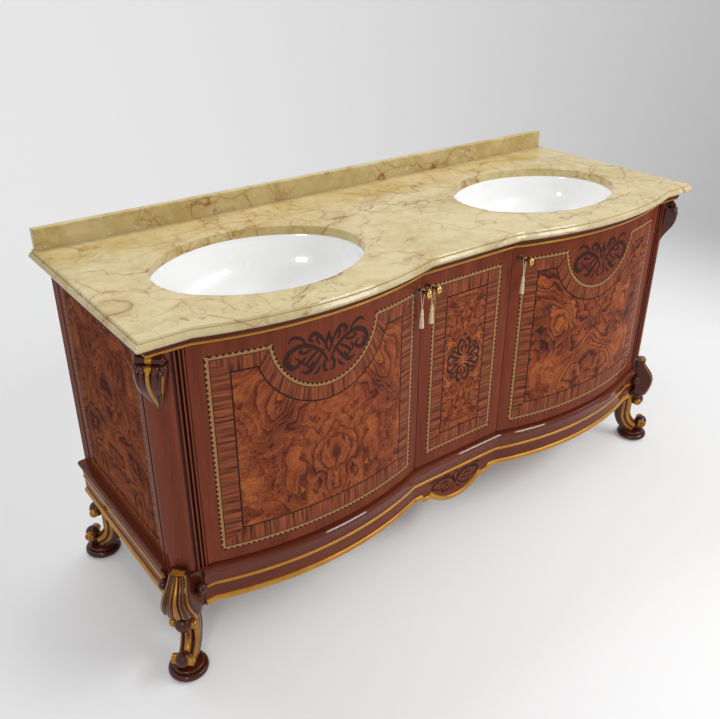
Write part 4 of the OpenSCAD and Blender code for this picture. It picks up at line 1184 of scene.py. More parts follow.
@dataclass
class Mouldings:
    """The cornice, the base's mouldings and the gilt lines, all carried along the bowed front and the sides.

    out is how far the cornice's band and the base's band stand out, and deep how far their wood reaches in.
    """

    cornice_out: float = 4.0
    cornice_deep: float = 20.0
    cornice_r: float = 18.5
    base_out: float = 2.0
    base_deep: float = 26.0
    line_high: float = 9.0
    edge_high: float = 16.0

    def cornice(self, wood: Material, gold: Material) -> None:
        """Makes the cornice, a flat band under a hollow, and the gilt bead on it."""
        out, deep, r, lip = self.cornice_out, self.cornice_deep, self.cornice_r, 22.0
        hollow = arc(out + lip, SLAB_LOW - r, r, 180, 92, 14)
        profile = np.vstack([[[-deep, CORNICE_LOW], [out, CORNICE_LOW], [out, SLAB_LOW - r - 0.1]], hollow,
                             [[lip, SLAB_LOW], [-deep, SLAB_LOW]]])
        Part.make("cornice_moulding", [moulding(CASE.around, profile)], [wood], Body.CASE, Slot.MAHOGANY,
                  ["front_cornice", "left_cornice", "right_cornice"])
        bead = self.half_round(7.0, CORNICE_LOW + 3.5, out, 13)
        Part.make("cornice_bead", [moulding(CASE.around, bead)], [gold], Body.CASE, Slot.GILDING,
                  ["gilt_beads"])

    def base_profile(self) -> Array:
        """The base's profile: a bead, a hollow that runs out to a flat band, and its back."""
        out, deep, bead_r = self.base_out, self.base_deep, 7.6
        bead = flattened(6.0, BASE_TOP - 8.0, bead_r, (90, 62, 28, -90))
        share = np.linspace(0, 1, 12)
        hollow = np.stack([3.0 + 6.0 * (1 - share) ** 2, BASE_TOP - 16.0 - 34.0 * share], -1)
        return np.vstack([[[-deep, BASE_TOP], [out, BASE_TOP]], bead, hollow,
                          [[out, BASE_TOP - 50.0], [out, BASE_LOW], [-deep, BASE_LOW]]])[::-1]

    @staticmethod
    def half_round(height: float, z: float, out: float, samples: int = 15) -> Array:
        """The profile of a gilt half-round moulding, 0.8 times as deep as half its height."""
        curve = arc(0.0, 0.0, height / 2, -90, 90, samples) * [0.8, 1.0] + [out, z]
        return np.vstack([[[out - 1.0, z + height / 2], [out - 1.0, z - height / 2]], curve])

    @staticmethod
    def front(profile: Array) -> Patch:
        """A profile along the front, between the front legs' blocks."""
        return moulding(lambda d: CASE.front(d, BLOCK_IN), profile)

    @staticmethod
    def sides(profile: Array) -> list[Patch]:
        """A profile along both sides, from the front legs' blocks to the back."""
        right = moulding(lambda d: CASE.side(d, BLOCK_BACK, 0.0), profile)
        return [right, right.mirrored()]

    def base(self, wood: Material, gold: Material) -> None:
        """Makes the moulded base with its gilt line, its gilt edge and the shaped drop in the middle."""
        profile, drop = self.base_profile(), Drop()
        Part.make("front_base", [self.front(profile), drop.board()], [wood], Body.CASE, Slot.MAHOGANY,
                  ["front_plinth"])
        Part.make("side_bases", self.sides(profile), [wood], Body.CASE, Slot.MAHOGANY,
                  ["left_plinth", "right_plinth"])
        line = self.half_round(self.line_high, BASE_TOP - 54.5, self.base_out)
        Part.make("base_line", [self.front(line), *self.sides(line)], [gold], Body.CASE, Slot.GILDING,
                  ["gilt_lines"])
        edge = self.half_round(self.edge_high, BASE_LOW + self.edge_high / 2, self.base_out)
        right = CASE.front(closed(edge)[:, 0], BLOCK_IN)
        bow = carried(right[: len(right) // 2], closed(edge))
        Part.make("base_edge", [bow, bow.mirrored(), *self.sides(edge), drop.edging()], [gold], Body.CASE,
                  Slot.GILDING, ["gilt_edges"])


@dataclass
class Drop:
    """The shaped drop in the base's middle: a wide arc between two small lobes, edged with a gilt bead."""

    level: float = 188.0
    half: float = 158.0
    radius: float = 118.0
    depth: float = 34.0
    lobe_r: float = 20.0
    lobe_x: float = 110.0
    bead: float = 16.0
    face: float = -600.0

    def line(self, grow: float) -> Array:
        """The lower outline, grown by a distance: the lowest of the flat, the lobes and the arc."""
        x = np.linspace(-self.half + 2, self.half - 2, 181)
        level = self.level - grow
        off = np.abs(x) - self.lobe_x
        wide, lobe = self.radius + grow, self.lobe_r + grow
        arched = self.level - self.depth - 16.0 + self.radius - over(wide, x)
        lobed = self.level + self.lobe_r / 3 - over(lobe, off)
        low = np.minimum(np.where(np.abs(x) < wide, arched, level),
                         np.where(np.abs(off) < lobe, lobed, level))
        return np.stack([x, np.minimum(level, low)], -1)

    def board(self) -> Patch:
        """The drop's wood: a flat board from the outline to the base, with a closed section in each row."""
        low = self.line(self.bead)
        high = np.column_stack([low[:, 0], np.full(len(low), self.level + 10.0)])
        back, front = self.face + 30.0, self.face - 0.05
        section = [(low, back), (low, front), (high, front), (high, back), (low, back)]
        return Patch(np.stack([np.column_stack([z[:, 0], np.full(len(z), y), z[:, 1]])
                               for z, y in section], 1), caps=True)

    def edging(self) -> Patch:
        """The gilt bead along the drop.

        Its section is a half circle between the outline and the outline grown by its width: across by the
        cosine and out by the sine of the same angle.
        """
        low, high = self.line(self.bead - 0.1), self.line(0.0)
        turn = np.radians(np.linspace(0, 180, 13))[None, :, None]
        flat = (low + high)[:, None] / 2 + (low - high)[:, None] / 2 * np.cos(turn)
        out = self.face - 7.0 * np.sin(turn) + 0 * flat[..., :1]
        points = np.concatenate([flat[..., :1], out, flat[..., 1:]], -1)
        return Patch.slab(points, points * [1, 0, 1] + [0, self.face + 1.0, 0])


@dataclass
class Posts:
    """The front corner posts: fluted strips and between them a quarter column that ends in a round tongue."""

    low: float = BASE_TOP
    high: float = CORNICE_LOW
    inner: float = 788.0
    outer: float = 862.0
    front: float = -596.0
    back: float = -514.0
    column_x: float = 812.0
    column_y: float = -544.0
    column_r: float = 54.0
    core_r: float = 48.0

    def core_plan(self) -> Array:
        """The post's plan without its column, counter-clockwise: two flutes in front and one behind."""
        flutes = [arc(0.0, 0.0, r, 180, 0, 13) * [1.0, 1.9] + [x, self.front]
                  for x, r in ((794.6, 3.0), (804.4, 3.6))]
        core = arc(self.column_x, self.column_y, self.core_r, -86, 0, 20)
        side = arc(0.0, 0.0, 3.5, -90, -270, 13) * [1.9, 1.0] + [self.outer, -530.0]
        return np.vstack([[[self.inner, self.front]], *flutes, [[811.0, self.front], [812.0, -592.5]], core,
                          [[self.outer, self.column_y]], side,
                          [[self.outer, self.back], [self.inner, self.back]]])

    def around(self, radius: Union[Array, float], angle: Array, z: Array) -> Array:
        """Points at a radius from the column's centre."""
        return np.stack([self.column_x + radius * np.cos(angle) + 0 * z,
                         self.column_y + radius * np.sin(angle) + 0 * z, z], -1)

    def column(self) -> Patch:
        """The raised quarter column.

        A point is the column's centre plus its radius along an angle. The radius falls to the core's at the
        four sides of the patch along a quarter circle. The lower side follows a half circle seen along the
        diagonal.
        """
        turns, levels, border = 49, 24, 3.0
        angle = np.radians(np.linspace(-81.5, -1.0, turns))[:, None]
        half = self.column_r * 0.6
        foot = self.low + 24.0 + half - over(half, self.column_r * np.sin(angle + math.radians(45)))
        share = np.concatenate([[0, 0.004, 0.012, 0.025], np.linspace(0.05, 1, levels - 4)])[None, :]
        z = foot + (self.high - foot) * share
        across = np.minimum(np.arange(turns), np.arange(turns)[::-1])[:, None] / border
        rise = quarter(across) * quarter(np.arange(levels)[None, :] / border)
        low = self.core_r - 1.0
        points = self.around(low + (self.column_r - low) * rise, angle, z)
        inner = self.around(self.core_r - 4.0, angle, z)
        return Patch(np.concatenate([points, inner[:, ::-1], points[:, :1]], 1), caps=True)

    def make(self, wood: Material) -> None:
        """Makes both posts, whose flutes are marked for painted shade."""
        plan = self.core_plan()
        core = Part.stacked(plan, self.low, self.high, 0.3)
        x, y = plan.T
        # painted shade: the flutes' points are marked in the gilt attribute, which the post's mahogany darkens
        # nearly to black
        sunk = ((y > -594.5) & (y < -586.0) & (x < 819.0)
                | (x < 860.5) & (x > 850.0) & (y > -540.0) & (y < -520.0))
        core.gilt = np.tile(closed(sunk[:, None].astype(float)).T, (len(core.points), 1))
        Part.pair("{}_front_post", [core, self.column()], [wood], Slot.MAHOGANY, "front_{}_post")


# Carving


@dataclass(frozen=True)
class Corner:
    """Axes of a corner: out along the diagonal, sideways, and up."""

    x: float
    y: float
    turn: float

    def at(self, out: Array, side: Array, z: Array) -> Array:
        """Case millimetres of a point in these axes: the corner plus out and side turned by the angle."""
        c, s = math.cos(math.radians(self.turn)), math.sin(math.radians(self.turn))
        return np.stack([self.x + out * c - side * s, self.y + out * s + side * c,
                         z + 0 * out + 0 * side], -1)


FRONT = Corner(CASE.half, -CASE.depth, -45.0)
REAR = Corner(CASE.half, -56.0, 45.0)


@dataclass
class Leaf:
    """A carved leaf that stands on an upright axis: lobes with sharp grooves between them and gilded veins.

    Across the leaf, t runs from -1 to 1. The leaf is half(v) wide to each side and stands reach(v) from its
    axis at its middle, falling back on a circle of that radius. Each lobe bulges by the root of one minus the
    square of the place in it.
    """

    corner: Corner
    axis: float
    top: float
    low: Callable[[Array], Array]
    half: Callable[[Array], Array]
    reach: Callable[[Array], Array]
    bulge: Callable[[Array], Array]
    gilt: Callable[[Array, Array], Array]
    inner: float = 8.0
    grooves: tuple[float, ...] = (-0.6, -0.2, 0.2, 0.6)

    def patch(self) -> Patch:
        """The leaf as one closed patch: rows run up it, and columns run across its face and back."""
        t = np.linspace(-1, 1, 101)
        v = np.linspace(0, 1, 56)[:, None]
        z = self.low(t) + (self.top - self.low(t)) * v
        height = self.top - z
        edges = np.array([-1.0, *self.grooves, 1.0])
        which = np.clip(np.searchsorted(edges, t, side="right") - 1, 0, len(edges) - 2)
        place = (t - edges[which]) / (edges[which + 1] - edges[which]) * 2 - 1
        swell = over(1.0, place) * self.bulge(height)
        side = t * self.half(height)
        round_out = np.sqrt(np.maximum(self.reach(height) ** 2 - side**2, 1.0)) - 7.0
        out = self.axis + (round_out + swell) * (0.86 + 0.14 * quarter(v / 0.06))
        face = self.corner.at(out, side, z)
        back = self.corner.at(np.full_like(out, self.axis + self.inner), side * 0.92, z)
        gilt = self.gilt(*np.broadcast_arrays(t, v))
        return Patch(np.concatenate([face, back[:, ::-1], face[:, :1]], 1), None,
                     np.concatenate([gilt, 0 * gilt, gilt[:, :1]], 1), caps=True)


def beside(t: Array, at: float, half: float) -> Array:
    """Where t is within half of at or of minus at."""
    return np.abs(np.abs(t) - at) < half


def ball(corner: Corner, out: float, side: float, z: float, r: float, gilt: float = 0.0,
         squash: float = 1.0) -> Patch:
    """A sphere in a corner's axes, turned about the side axis and flattened along it by squash."""
    turn = np.radians(np.linspace(0, 180, 25))
    profile = np.stack([r * np.sin(turn), -squash * r * np.cos(turn)], -1)
    return Part.turned(profile, lambda a, b, h: corner.at(out + a, side + h, z + b), 40, gilt=gilt)


def volute(corner: Corner, out: float, z: float, side0: float, side1: float, r: float,
           gilt_end: float) -> Patch:
    """A roll across the diagonal, turned from a profile: a body, a sunk ring and a button at the end.

    Args:
        corner: the corner's axes.
        out: how far the roll's axis stands out.
        z: its height.
        side0: where it starts, sideways.
        side1: where its end's edge is.
        r: its radius.
        gilt_end: the share of its length from which it is gilt.

    Returns:
        The patch.
    """
    way = 1.0 if side1 > side0 else -1.0
    length = abs(side1 - side0)
    profile = np.array([[0, 0], [r * 0.9, 0], [r, 1.2], [r, length - 5.0], [r * 0.93, length - 2.2],
                        [r * 0.72, length - 1.2], [r * 0.62, length - 2.6], [r * 0.5, length - 2.2],
                        [r * 0.42, length - 0.2], [r * 0.22, length + 1.6], [0, length + 2.0]])
    profile = poled(spline(profile, 61))
    patch = Part.turned(profile, lambda a, b, h: corner.at(out + a, side0 + way * h, z + b), 40)
    patch.gilt = np.clip((profile[:, 1:] - gilt_end * length) / 1.5, 0, 1) + 0 * patch.gilt
    return patch


@dataclass
class Leg:
    """A scroll leg on a round pad: a shank that bends out to a rolled toe, and a scroll under the knee."""

    corner: Corner
    top: float = BASE_LOW
    bend_x: float = 26.0
    bend_z: float = 98.0
    bend_r: float = 41.0
    thick: float = 55.0
    width: float = 26.0

    def shank(self) -> Patch:
        """The shank: a lobed section carried down and round the bend.

        The middle line is straight down to the bend and then a quarter circle of the bend's radius plus half
        the thickness. Across the section, an angle gives out by its cosine and sideways by its sine, both
        raised to a power for flatter sides. Two grooves beside a middle rib are bells taken off the outer
        face.
        """
        r = self.bend_r + self.thick / 2
        straight = np.linspace(self.top - 1.0, self.bend_z, 14)
        turn = np.radians(np.linspace(0, 66, 30))[1:]
        lean = np.concatenate([0 * straight, turn])[:, None]
        z = np.concatenate([straight, self.bend_z - r * np.sin(turn)])[:, None]
        a = np.linspace(0, math.tau, 97)[None, :]
        squarish = np.stack([np.sin(a), np.cos(a)])
        squarish = np.sign(squarish) * np.abs(squarish) ** 0.62
        taper = 1 - 0.12 * np.linspace(0, 1, len(lean))[:, None]
        sideways, across = self.width * squarish[0] * taper, self.thick / 2 * squarish[1] * taper
        facing, flank = np.cos(a) > 0.2, np.abs(np.sin(a)) > 0.6
        across = across + (3.0 * bell(sideways, 7.0)
                           - 4.0 * bell(np.abs(sideways) - 11.0, 2.4)) * facing - 1.5
        groove = bell(across - 4.0, 3.0) + bell(across + 9.0, 3.0)
        sideways = sideways - np.sign(sideways) * 2.4 * groove * flank
        points = self.corner.at(self.bend_x - r * np.cos(lean) + across * np.cos(lean), sideways,
                                z + across * np.sin(lean))
        middle = facing * (np.abs(sideways) < 7.5)
        edge = (across > 8.0) * (np.abs(sideways) > 17.0)
        line = (np.abs(across + 2.5) < 4.0) * flank
        return Patch(points, None, 1.0 * (middle | edge | line), caps=True)

    def pad(self) -> Patch:
        """The round pad: a full torus edge under a stepped collar, turned about the upright axis."""
        ring = arc(49.0 - 9.0, 10.5, 9.0, -75, 90, 18)
        profile = np.vstack([[[0, 0], [38.0, 0]], ring, arc(34.0, 23.0, 5.0, -60, 90, 10),
                             [[24.0, 29.5], [0, 30.0]]])
        return Part.turned(profile, lambda a, b, h: self.corner.at(a, b, h), 72)

    def patches(self) -> list[Patch]:
        """The whole lower leg."""
        toe_x, toe_z, scroll_x, scroll_z = 25.0, 58.0, -2.0, 147.0
        made = [self.shank(), self.pad(), ball(self.corner, toe_x, 0, toe_z, 20.0),
                ball(self.corner, scroll_x, 0, scroll_z, 22.0)]
        for way in (-1.0, 1.0):
            made.append(volute(self.corner, toe_x, toe_z, way * 8.0, way * 28.5, 13.0, 0.30))
            made.append(ball(self.corner, scroll_x - 1.0, way * 24.5, scroll_z + 1.0, 12.5, gilt=1.0,
                             squash=0.9))
        made.append(self.neck(0.0, 14.0, 25.0, 50.0, toe_x))
        made.append(self.neck(-20.0, 12.0, scroll_z - 14, scroll_z + 14, scroll_x))
        return made

    def neck(self, out0: float, half: float, z0: float, z1: float, out1: float) -> Patch:
        """A block that joins a scroll to what carries it, with eased edges."""
        square = np.array([[out0, -half], [out1, -half], [out1, half], [out0, half]])
        patch = Part.stacked(square, z0, z1, 2.0)
        patch.points = self.corner.at(patch.points[..., 0], patch.points[..., 1], patch.points[..., 2])
        return patch


@dataclass
class FrontLeg(Leg):
    """A front leg with its square block and the carved knee on the corner."""

    def knee(self) -> Patch:
        """The knee's leaf: widest near its scalloped foot, narrow and hooked out at its top."""
        top, low, wide, span = BASE_TOP + 22.0, self.top, BASE_TOP - 49.0, 48.0

        def reach(height: Array) -> Array:
            """How far the face stands out: hooked out at the foot, full at its widest, slim at the top."""
            z = top - height
            upper = 34.0 + 33.0 * fall((z - wide) / (top - wide))
            lower = 67.0 - 15.0 * (np.clip(wide - z, 0, None) / (wide - low)) ** 2
            return np.where(z > wide, upper, lower) + 6.0 * bell(height, 7.0) + 2.0

        def half(height: Array) -> Array:
            """Half the width, which grows downwards up to the span."""
            return np.minimum(span, 20.0 + 28.0 * (np.clip(height, 0, None) / (top - low - 30.0)) ** 1.2)

        def gilt(t: Array, v: Array) -> Array:
            """1 on the middle rib, on four lines at each side and on the upper tip."""
            stripe = np.abs(t) < 0.075 + 0.085 * (1 - v)
            lines = beside(t, 0.225, 0.025) | beside(t, 0.33, 0.02) & (v < 0.9)
            outer = beside(t, 0.60, 0.05) | beside(t, 0.86, 0.04)
            return 1.0 * (stripe | lines | outer | (v > 0.975) & (np.abs(t) < 0.9))

        def foot(t: Array) -> Array:
            """The lower edge, one scallop for each lobe."""
            return low + 19.0 - 9.0 * over(1.0, np.mod((t + 1) * 2.5, 1.0) * 2 - 1)

        return Leaf(self.corner, -32.0, top, foot, half, reach, lambda h: 3.0 + 4.5 * np.clip(h / 70.0, 0, 1),
                    gilt).patch()

    def patches(self) -> list[Patch]:
        """The lower leg, the knee, its ears and the block."""
        x, y = self.corner.x, self.corner.y
        plan = np.array([[BLOCK_IN, y], [x, y], [x, BLOCK_BACK], [BLOCK_IN, BLOCK_BACK]])
        made = [*super().patches(), self.knee(), Part.stacked(plan, self.top, BASE_TOP, 1.2)]
        for way in (-1.0, 1.0):
            made.append(ball(self.corner, -25.0, way * 46.0, 242.0, 14.0, squash=0.9))
            made.append(volute(self.corner, -14.0, self.top + 15.0, way * 4.0, way * 36.5, 17.0, 2.0))
        return made


@dataclass
class Capital:
    """A carved capital on a post: a roll with a gilt band over a pointed leaf with bold shoulders."""

    corner: Corner
    high: float = 857.2
    axis: float = -45.0

    def leaf(self) -> Patch:
        """The capital's leaf: full shoulders that fall to a point, with a gilt vein and gilt edges."""
        length, top = 118.0, self.high - 18.0

        def reach(height: Array) -> Array:
            """How far the face stands out: shoulders that swell by a sine and fall by half a cosine."""
            t = height / length
            swell = 46.0 + 12.0 * np.sin(np.pi / 2 * np.clip(t / 0.3, 0, 1))
            return np.where(t < 0.3, swell, 23.5 + 34.5 * fall((t - 0.3) / 0.7)) + 7.0

        def half(height: Array) -> Array:
            """Half the width, which runs to a point."""
            t = np.clip(height / length, 0, 1)
            return 34.0 * (1 - t**2.0) + 0.5

        def gilt(t: Array, v: Array) -> Array:
            """1 on the vein and along both edges."""
            vein = np.abs(t) < 0.10 + 0.24 * (1 - v) ** 2
            return 1.0 * (vein | beside(t, 0.885, 0.045) & (v < 0.85))

        return Leaf(self.corner, self.axis, top, lambda t: np.full_like(t, top - length), half, reach,
                    lambda h: 1.0 + 5.0 * bell(h - 14.0, 16.0), gilt, 18.0).patch()

    def patches(self) -> list[Patch]:
        """The leaf, the shoulders' lobes and the roll."""
        roll_z, roll_out = self.high - 10.0, self.axis + 37.0
        made = [self.leaf()]
        for way in (-1.0, 1.0):
            made.append(volute(self.corner, roll_out, roll_z, way * 6.5, way * 31.0, 9.6, 2.0))
            for turn in (17.0, 34.0):
                a = math.radians(way * turn)
                made.append(ball(self.corner, self.axis + 50 * math.cos(a), 50 * math.sin(a),
                                 self.high - 25.0, 8.6))
        made.append(ball(self.corner, self.axis + 50.0, 0.0, self.high - 25.0, 8.6, gilt=1.0))
        band = np.array([[0.0, -7.0], [9.4, -7.0], [9.9, -5.5], [9.9, 5.5], [9.4, 7.0], [0.0, 7.0]])
        made.append(Part.turned(band, lambda a, b, h: self.corner.at(roll_out + a, h, roll_z + b), 40,
                                gilt=1.0))
        return made


class Carving:
    """All carved pieces of the case."""

    def make(self, carved: Material) -> None:
        """Makes four legs and two capitals, the left ones as mirrored copies."""
        for name, patches, node in (("carved_{}_front_leg", FrontLeg(FRONT).patches(), "front_{}_leg"),
                                    ("carved_{}_rear_leg", Leg(REAR).patches(), "rear_{}_leg"),
                                    ("carved_{}_capital", Capital(FRONT).patches(), "{}_capital")):
            Part.pair(name, patches, [carved], Slot.MAHOGANY, node, 40.0)


# Marquetry


Lay = Callable[[Array, Array, float], Array]
SIDE_FACE, APRON_FACE = 855.0, -600.3
SUNK = 0.6  # how far a veneer's back lies under the face


def on_front(x: Array, z: Array, lift: float) -> Array:
    """Points of the bowed front, lifted off it."""
    return np.stack([x, CASE.front_y(x, lift), z], -1)


def on_side(y: Array, z: Array, lift: float) -> Array:
    """Points of the right side panel, lifted off it."""
    return np.stack([np.full_like(y, SIDE_FACE + lift), y, z], -1)


def on_apron(x: Array, z: Array, lift: float) -> Array:
    """Points of the drop's inlay, lifted off it."""
    return np.stack([x, np.full_like(x, APRON_FACE - lift), z], -1)


@dataclass
class Strip:
    """A thin strip of inlay along a path on a face."""

    path: Array
    low: Union[float, Array]
    high: Union[float, Array]
    lift: float
    lay: Lay
    ring: bool = True

    def patch(self, finish: int) -> Patch:
        """The strip as a closed patch.

        Each point of the path moves across by the mean normal of its two spans, made longer at corners so
        that both edges stay straight.
        """
        p = np.asarray(self.path, float)
        if self.ring:
            before, after = p - np.roll(p, 1, 0), np.roll(p, -1, 0) - p
        else:
            after = np.diff(p, axis=0, append=2 * p[-1:] - p[-2:-1])
            before = np.vstack([after[:1], after[:-1]])
        unit = [v / np.maximum(np.linalg.norm(v, axis=1, keepdims=True), 1e-9) for v in (before, after)]
        normals = [np.stack([v[:, 1], -v[:, 0]], -1) for v in unit]
        total = normals[0] + normals[1]
        across = total / np.maximum(1 + np.sum(normals[0] * normals[1], 1, keepdims=True), 0.35)
        low, high = np.broadcast_to(self.low, len(p)), np.broadcast_to(self.high, len(p))
        edges = [(low, -SUNK), (low, self.lift), (high, self.lift), (high, -SUNK), (low, -SUNK)]
        points = np.stack([self.lay(*(p + across * reach[:, None]).T, lift) for reach, lift in edges], 1)
        if self.ring:
            points, p = np.concatenate([points, points[:1]]), closed(p)
        along = np.broadcast_to(lengths(p, 0)[:, None] / MM, points.shape[:2])
        share = np.broadcast_to(np.array([0.0, 0.0, 1.0, 1.0, 0.0]), points.shape[:2])
        return Patch(points, np.stack([along, share], -1), finish=finish, caps=not self.ring)


def upright(x: Array, low: Array, high: Array, rows: int, lift: float, lay: Lay, finish: int) -> Patch:
    """A thin closed slab of veneer on a face, between two lines over the same x."""
    z = low[:, None] + (high - low)[:, None] * np.linspace(0, 1, rows)[None, :]
    across = x[:, None] + 0 * z
    return Patch.slab(lay(across, z, lift), lay(across, z, -SUNK), finish)


@dataclass(frozen=True)
class PanelLine:
    """An outline on a door or a side panel: a rectangle that may have a round bite out of its upper edge."""

    x0: float
    x1: float
    z0: float
    z1: float
    bite_r: float = 0.0
    bite_z: float = 832.9

    @property
    def mid(self) -> float:
        """The panel's middle."""
        return (self.x0 + self.x1) / 2

    @property
    def bite_half(self) -> float:
        """Half the width of the bite where it meets the upper edge, and 0 without a bite."""
        return math.sqrt(self.bite_r**2 - (self.bite_z - self.z1) ** 2) if self.bite_r else 0.0

    def mirrored(self) -> "PanelLine":
        """The outline on the other side of the case's middle."""
        return replace(self, x0=-self.x1, x1=-self.x0)

    def runs(self) -> list[tuple[Array, Array]]:
        """The outline's runs: up, along the top with its bite, down and back.

        Returns:
            For each run its points and the metres along it, by which veneers that lie across it are cut. The
            counts of points depend only on whether there is a bite.
        """
        x0, x1, z0, z1, half = self.x0, self.x1, self.z0, self.z1, self.bite_half
        top = [(np.linspace([x0, z1], [x1, z1], 100), 0)]
        if half:
            turn = math.degrees(math.atan2(z1 - self.bite_z, half))
            top = [(np.linspace([x0, z1], [self.mid - half, z1], 20), 0),
                   (arc(self.mid, self.bite_z, self.bite_r, -180 - turn, turn, 62), None),
                   (np.linspace([self.mid + half, z1], [x1, z1], 20), 0)]
        made = [(np.linspace([x0, z0], [x0, z1], 24), 1), *top, (np.linspace([x1, z1], [x1, z0], 24), 1),
                (np.linspace([x1, z0], [x0, z0], 72), 0)]
        round_bite = np.linspace(0, 0.38, 62)
        return [(line, round_bite if axis is None else line[:, axis] / MM) for line, axis in made]

    def path(self) -> Array:
        """The whole outline without a repeated last point."""
        return np.vstack([line[:-1] for line, _ in self.runs()])

    def top_at(self, x: Array) -> Array:
        """Height of the upper edge at x."""
        off = x - self.mid
        bite = np.minimum(self.bite_z - over(self.bite_r, off), self.z1)
        return np.where(np.abs(off) < self.bite_r, bite, self.z1)

    def field(self, lift: float, lay: Lay, finish: int) -> Patch:
        """The veneer inside the outline: upright rows from edge to edge, on a thin closed slab."""
        kinks = [self.mid - self.bite_half, self.mid + self.bite_half] if self.bite_r else []
        x = np.unique([*np.linspace(self.x0, self.x1, 90), *kinks])
        return upright(x, np.full_like(x, self.z0), self.top_at(x), 12, lift, lay, finish)


def between(outer: PanelLine, inner: PanelLine, lift: float, lay: Lay, finish: int) -> list[Patch]:
    """A mitred band of veneer between two outlines, whose fibres lie across each run.

    Args:
        outer: the outline at the band's outer edge.
        inner: the outline at its inner edge.
        lift: how far the band stands off the face.
        lay: puts points on the face.
        finish: the material's number.

    Returns:
        One patch for each run, which together close.
    """
    made = []
    for (line, far), (within, near) in zip(outer.runs(), inner.runs()):
        share = np.concatenate([[0.0], np.linspace(0, 1, 8), [1.0, 0.0]])
        levels = [-SUNK, *[lift] * 8, -SUNK, -SUNK]
        points = np.stack([lay(*((1 - t) * line + t * within).T, level)
                           for t, level in zip(share, levels)], 1)
        along = far[:, None] * (1 - share) + near[:, None] * share
        made.append(Patch(points, np.stack([along, share + 0 * along], -1), finish=finish))
    return made


@dataclass(frozen=True)
class Scroll:
    """One stroke of a scroll ornament, in shares of its half width and height, with its greatest width."""

    points: tuple[tuple[float, float], ...]
    width: float

    def patch(self, centre: tuple[float, float], half: tuple[float, float], flip: tuple[int, int],
              lift: float, lay: Lay, finish: int) -> Patch:
        """The stroke on a face: a smooth curve whose width swells in the middle and ends in points.

        Args:
            centre: the ornament's middle on the face.
            half: its half width and half height.
            flip: 1 or -1 for each direction.
            lift: how far the stroke stands off the face.
            lay: puts points on the face.
            finish: the material's number.

        Returns:
            The patch.
        """
        line = spline(self.points, 42)
        path = np.array(centre) + line * np.array(half) * np.array(flip)
        share = np.linspace(0, 1, len(path))
        width = self.width / 2 * np.sin(np.pi * np.clip(share * 0.94 + 0.03, 0, 1)) ** 0.6
        return Strip(path, -width, width, lift, lay, ring=False).patch(finish)


def strokes(*rows: tuple[float, ...]) -> tuple[Scroll, ...]:
    """Strokes from rows of numbers: the greatest width, and then the x and y of each point."""
    return tuple(Scroll(tuple(zip(row[1::2], row[2::2])), row[0]) for row in rows)


ARABESQUE = strokes(
    (12, 0.02, -0.55, 0.14, -0.1, 0.34, 0.3, 0.62, 0.52, 0.88, 0.34, 0.97, -0.1, 0.82, -0.42, 0.66, -0.2,
     0.76, 0.04),
    (10, 0.16, -0.05, 0.3, -0.42, 0.48, -0.78, 0.64, -0.66),
    (8, 0.24, 0.1, 0.4, -0.12, 0.52, -0.4, 0.44, -0.58),
    (10, 0.06, 0.2, 0.16, 0.62, 0.32, 0.92, 0.44, 0.72, 0.34, 0.56),
    (8, 0.36, 0.32, 0.52, 0.16, 0.66, 0.24, 0.6, 0.38),
    (8, 0.5, 0.5, 0.62, 0.84, 0.8, 0.96, 0.9, 0.78),
    (8, 0, -0.1, 0.07, 0.26, 0.02, 0.6, -0.02, 0.86),
    (8, 0.05, -0.3, 0.12, -0.62, 0.1, -0.92, 0.02, -0.96),
    (7, 0.2, -0.6, 0.28, -0.86, 0.38, -0.98),
    (8, 0.1, 0.02, 0.22, 0.08, 0.28, 0.3),
    (7, 0.52, 0, 0.6, -0.22, 0.56, -0.42),
    (6, 0.84, 0.1, 0.9, -0.16, 0.8, -0.3),
    (7, 0.2, 0.34, 0.27, 0.6, 0.24, 0.8),
    (7, 0.36, -0.3, 0.44, -0.6, 0.56, -0.88),
)
ROSETTE = strokes(
    (8, 0.06, 0.16, 0.3, 0.36, 0.36, 0.72, 0.16, 0.94, 0, 0.74),
    (8, 0.16, 0.1, 0.5, 0.2, 0.84, 0.36, 0.96, 0.12, 0.78, 0),
    (7, 0.24, 0.22, 0.52, 0.46, 0.74, 0.52, 0.66, 0.68, 0.46, 0.6),
    (6, 0.04, 0.3, 0.14, 0.5, 0.08, 0.66),
    (6, 0.3, 0.06, 0.5, 0.08, 0.64, 0.02),
)
APRON = strokes(
    (9, 0.03, 0, 0.24, 0.48, 0.55, 0.66, 0.84, 0.4, 0.9, -0.02, 0.7, -0.14),
    (8, 0.06, -0.15, 0.26, -0.62, 0.5, -0.62, 0.54, -0.24),
    (8, 0, 0.9, 0.12, 0.5, 0.06, 0.1, 0, -0.4),
    (7, 0.26, 0.06, 0.44, 0.22, 0.62, 0.1),
    (6, 0.18, 0.62, 0.34, 0.8, 0.5, 0.92),
    (6, 0.66, 0.8, 0.84, 0.82, 0.99, 0.66),
    (6, 0.24, -0.24, 0.36, -0.16, 0.44, -0.34),
    (6, 0.04, -0.5, 0.1, -0.78, 0.22, -0.92),
    (5, 0.6, -0.42, 0.7, -0.3, 0.8, -0.22),
)


@dataclass(frozen=True)
class Ornament:
    """Scrolls about a centre, mirrored left to right and, if fourfold, top to bottom."""

    scrolls: tuple[Scroll, ...]
    centre: tuple[float, float]
    half: tuple[float, float]
    lift: float = 0.2
    fourfold: bool = False

    def patches(self, lay: Lay, finish: int) -> list[Patch]:
        """All its strokes on a face."""
        ups = (-1, 1) if self.fourfold else (1,)
        return [s.patch(self.centre, self.half, (way, up), self.lift, lay, finish)
                for s in self.scrolls for way in (-1, 1) for up in ups]


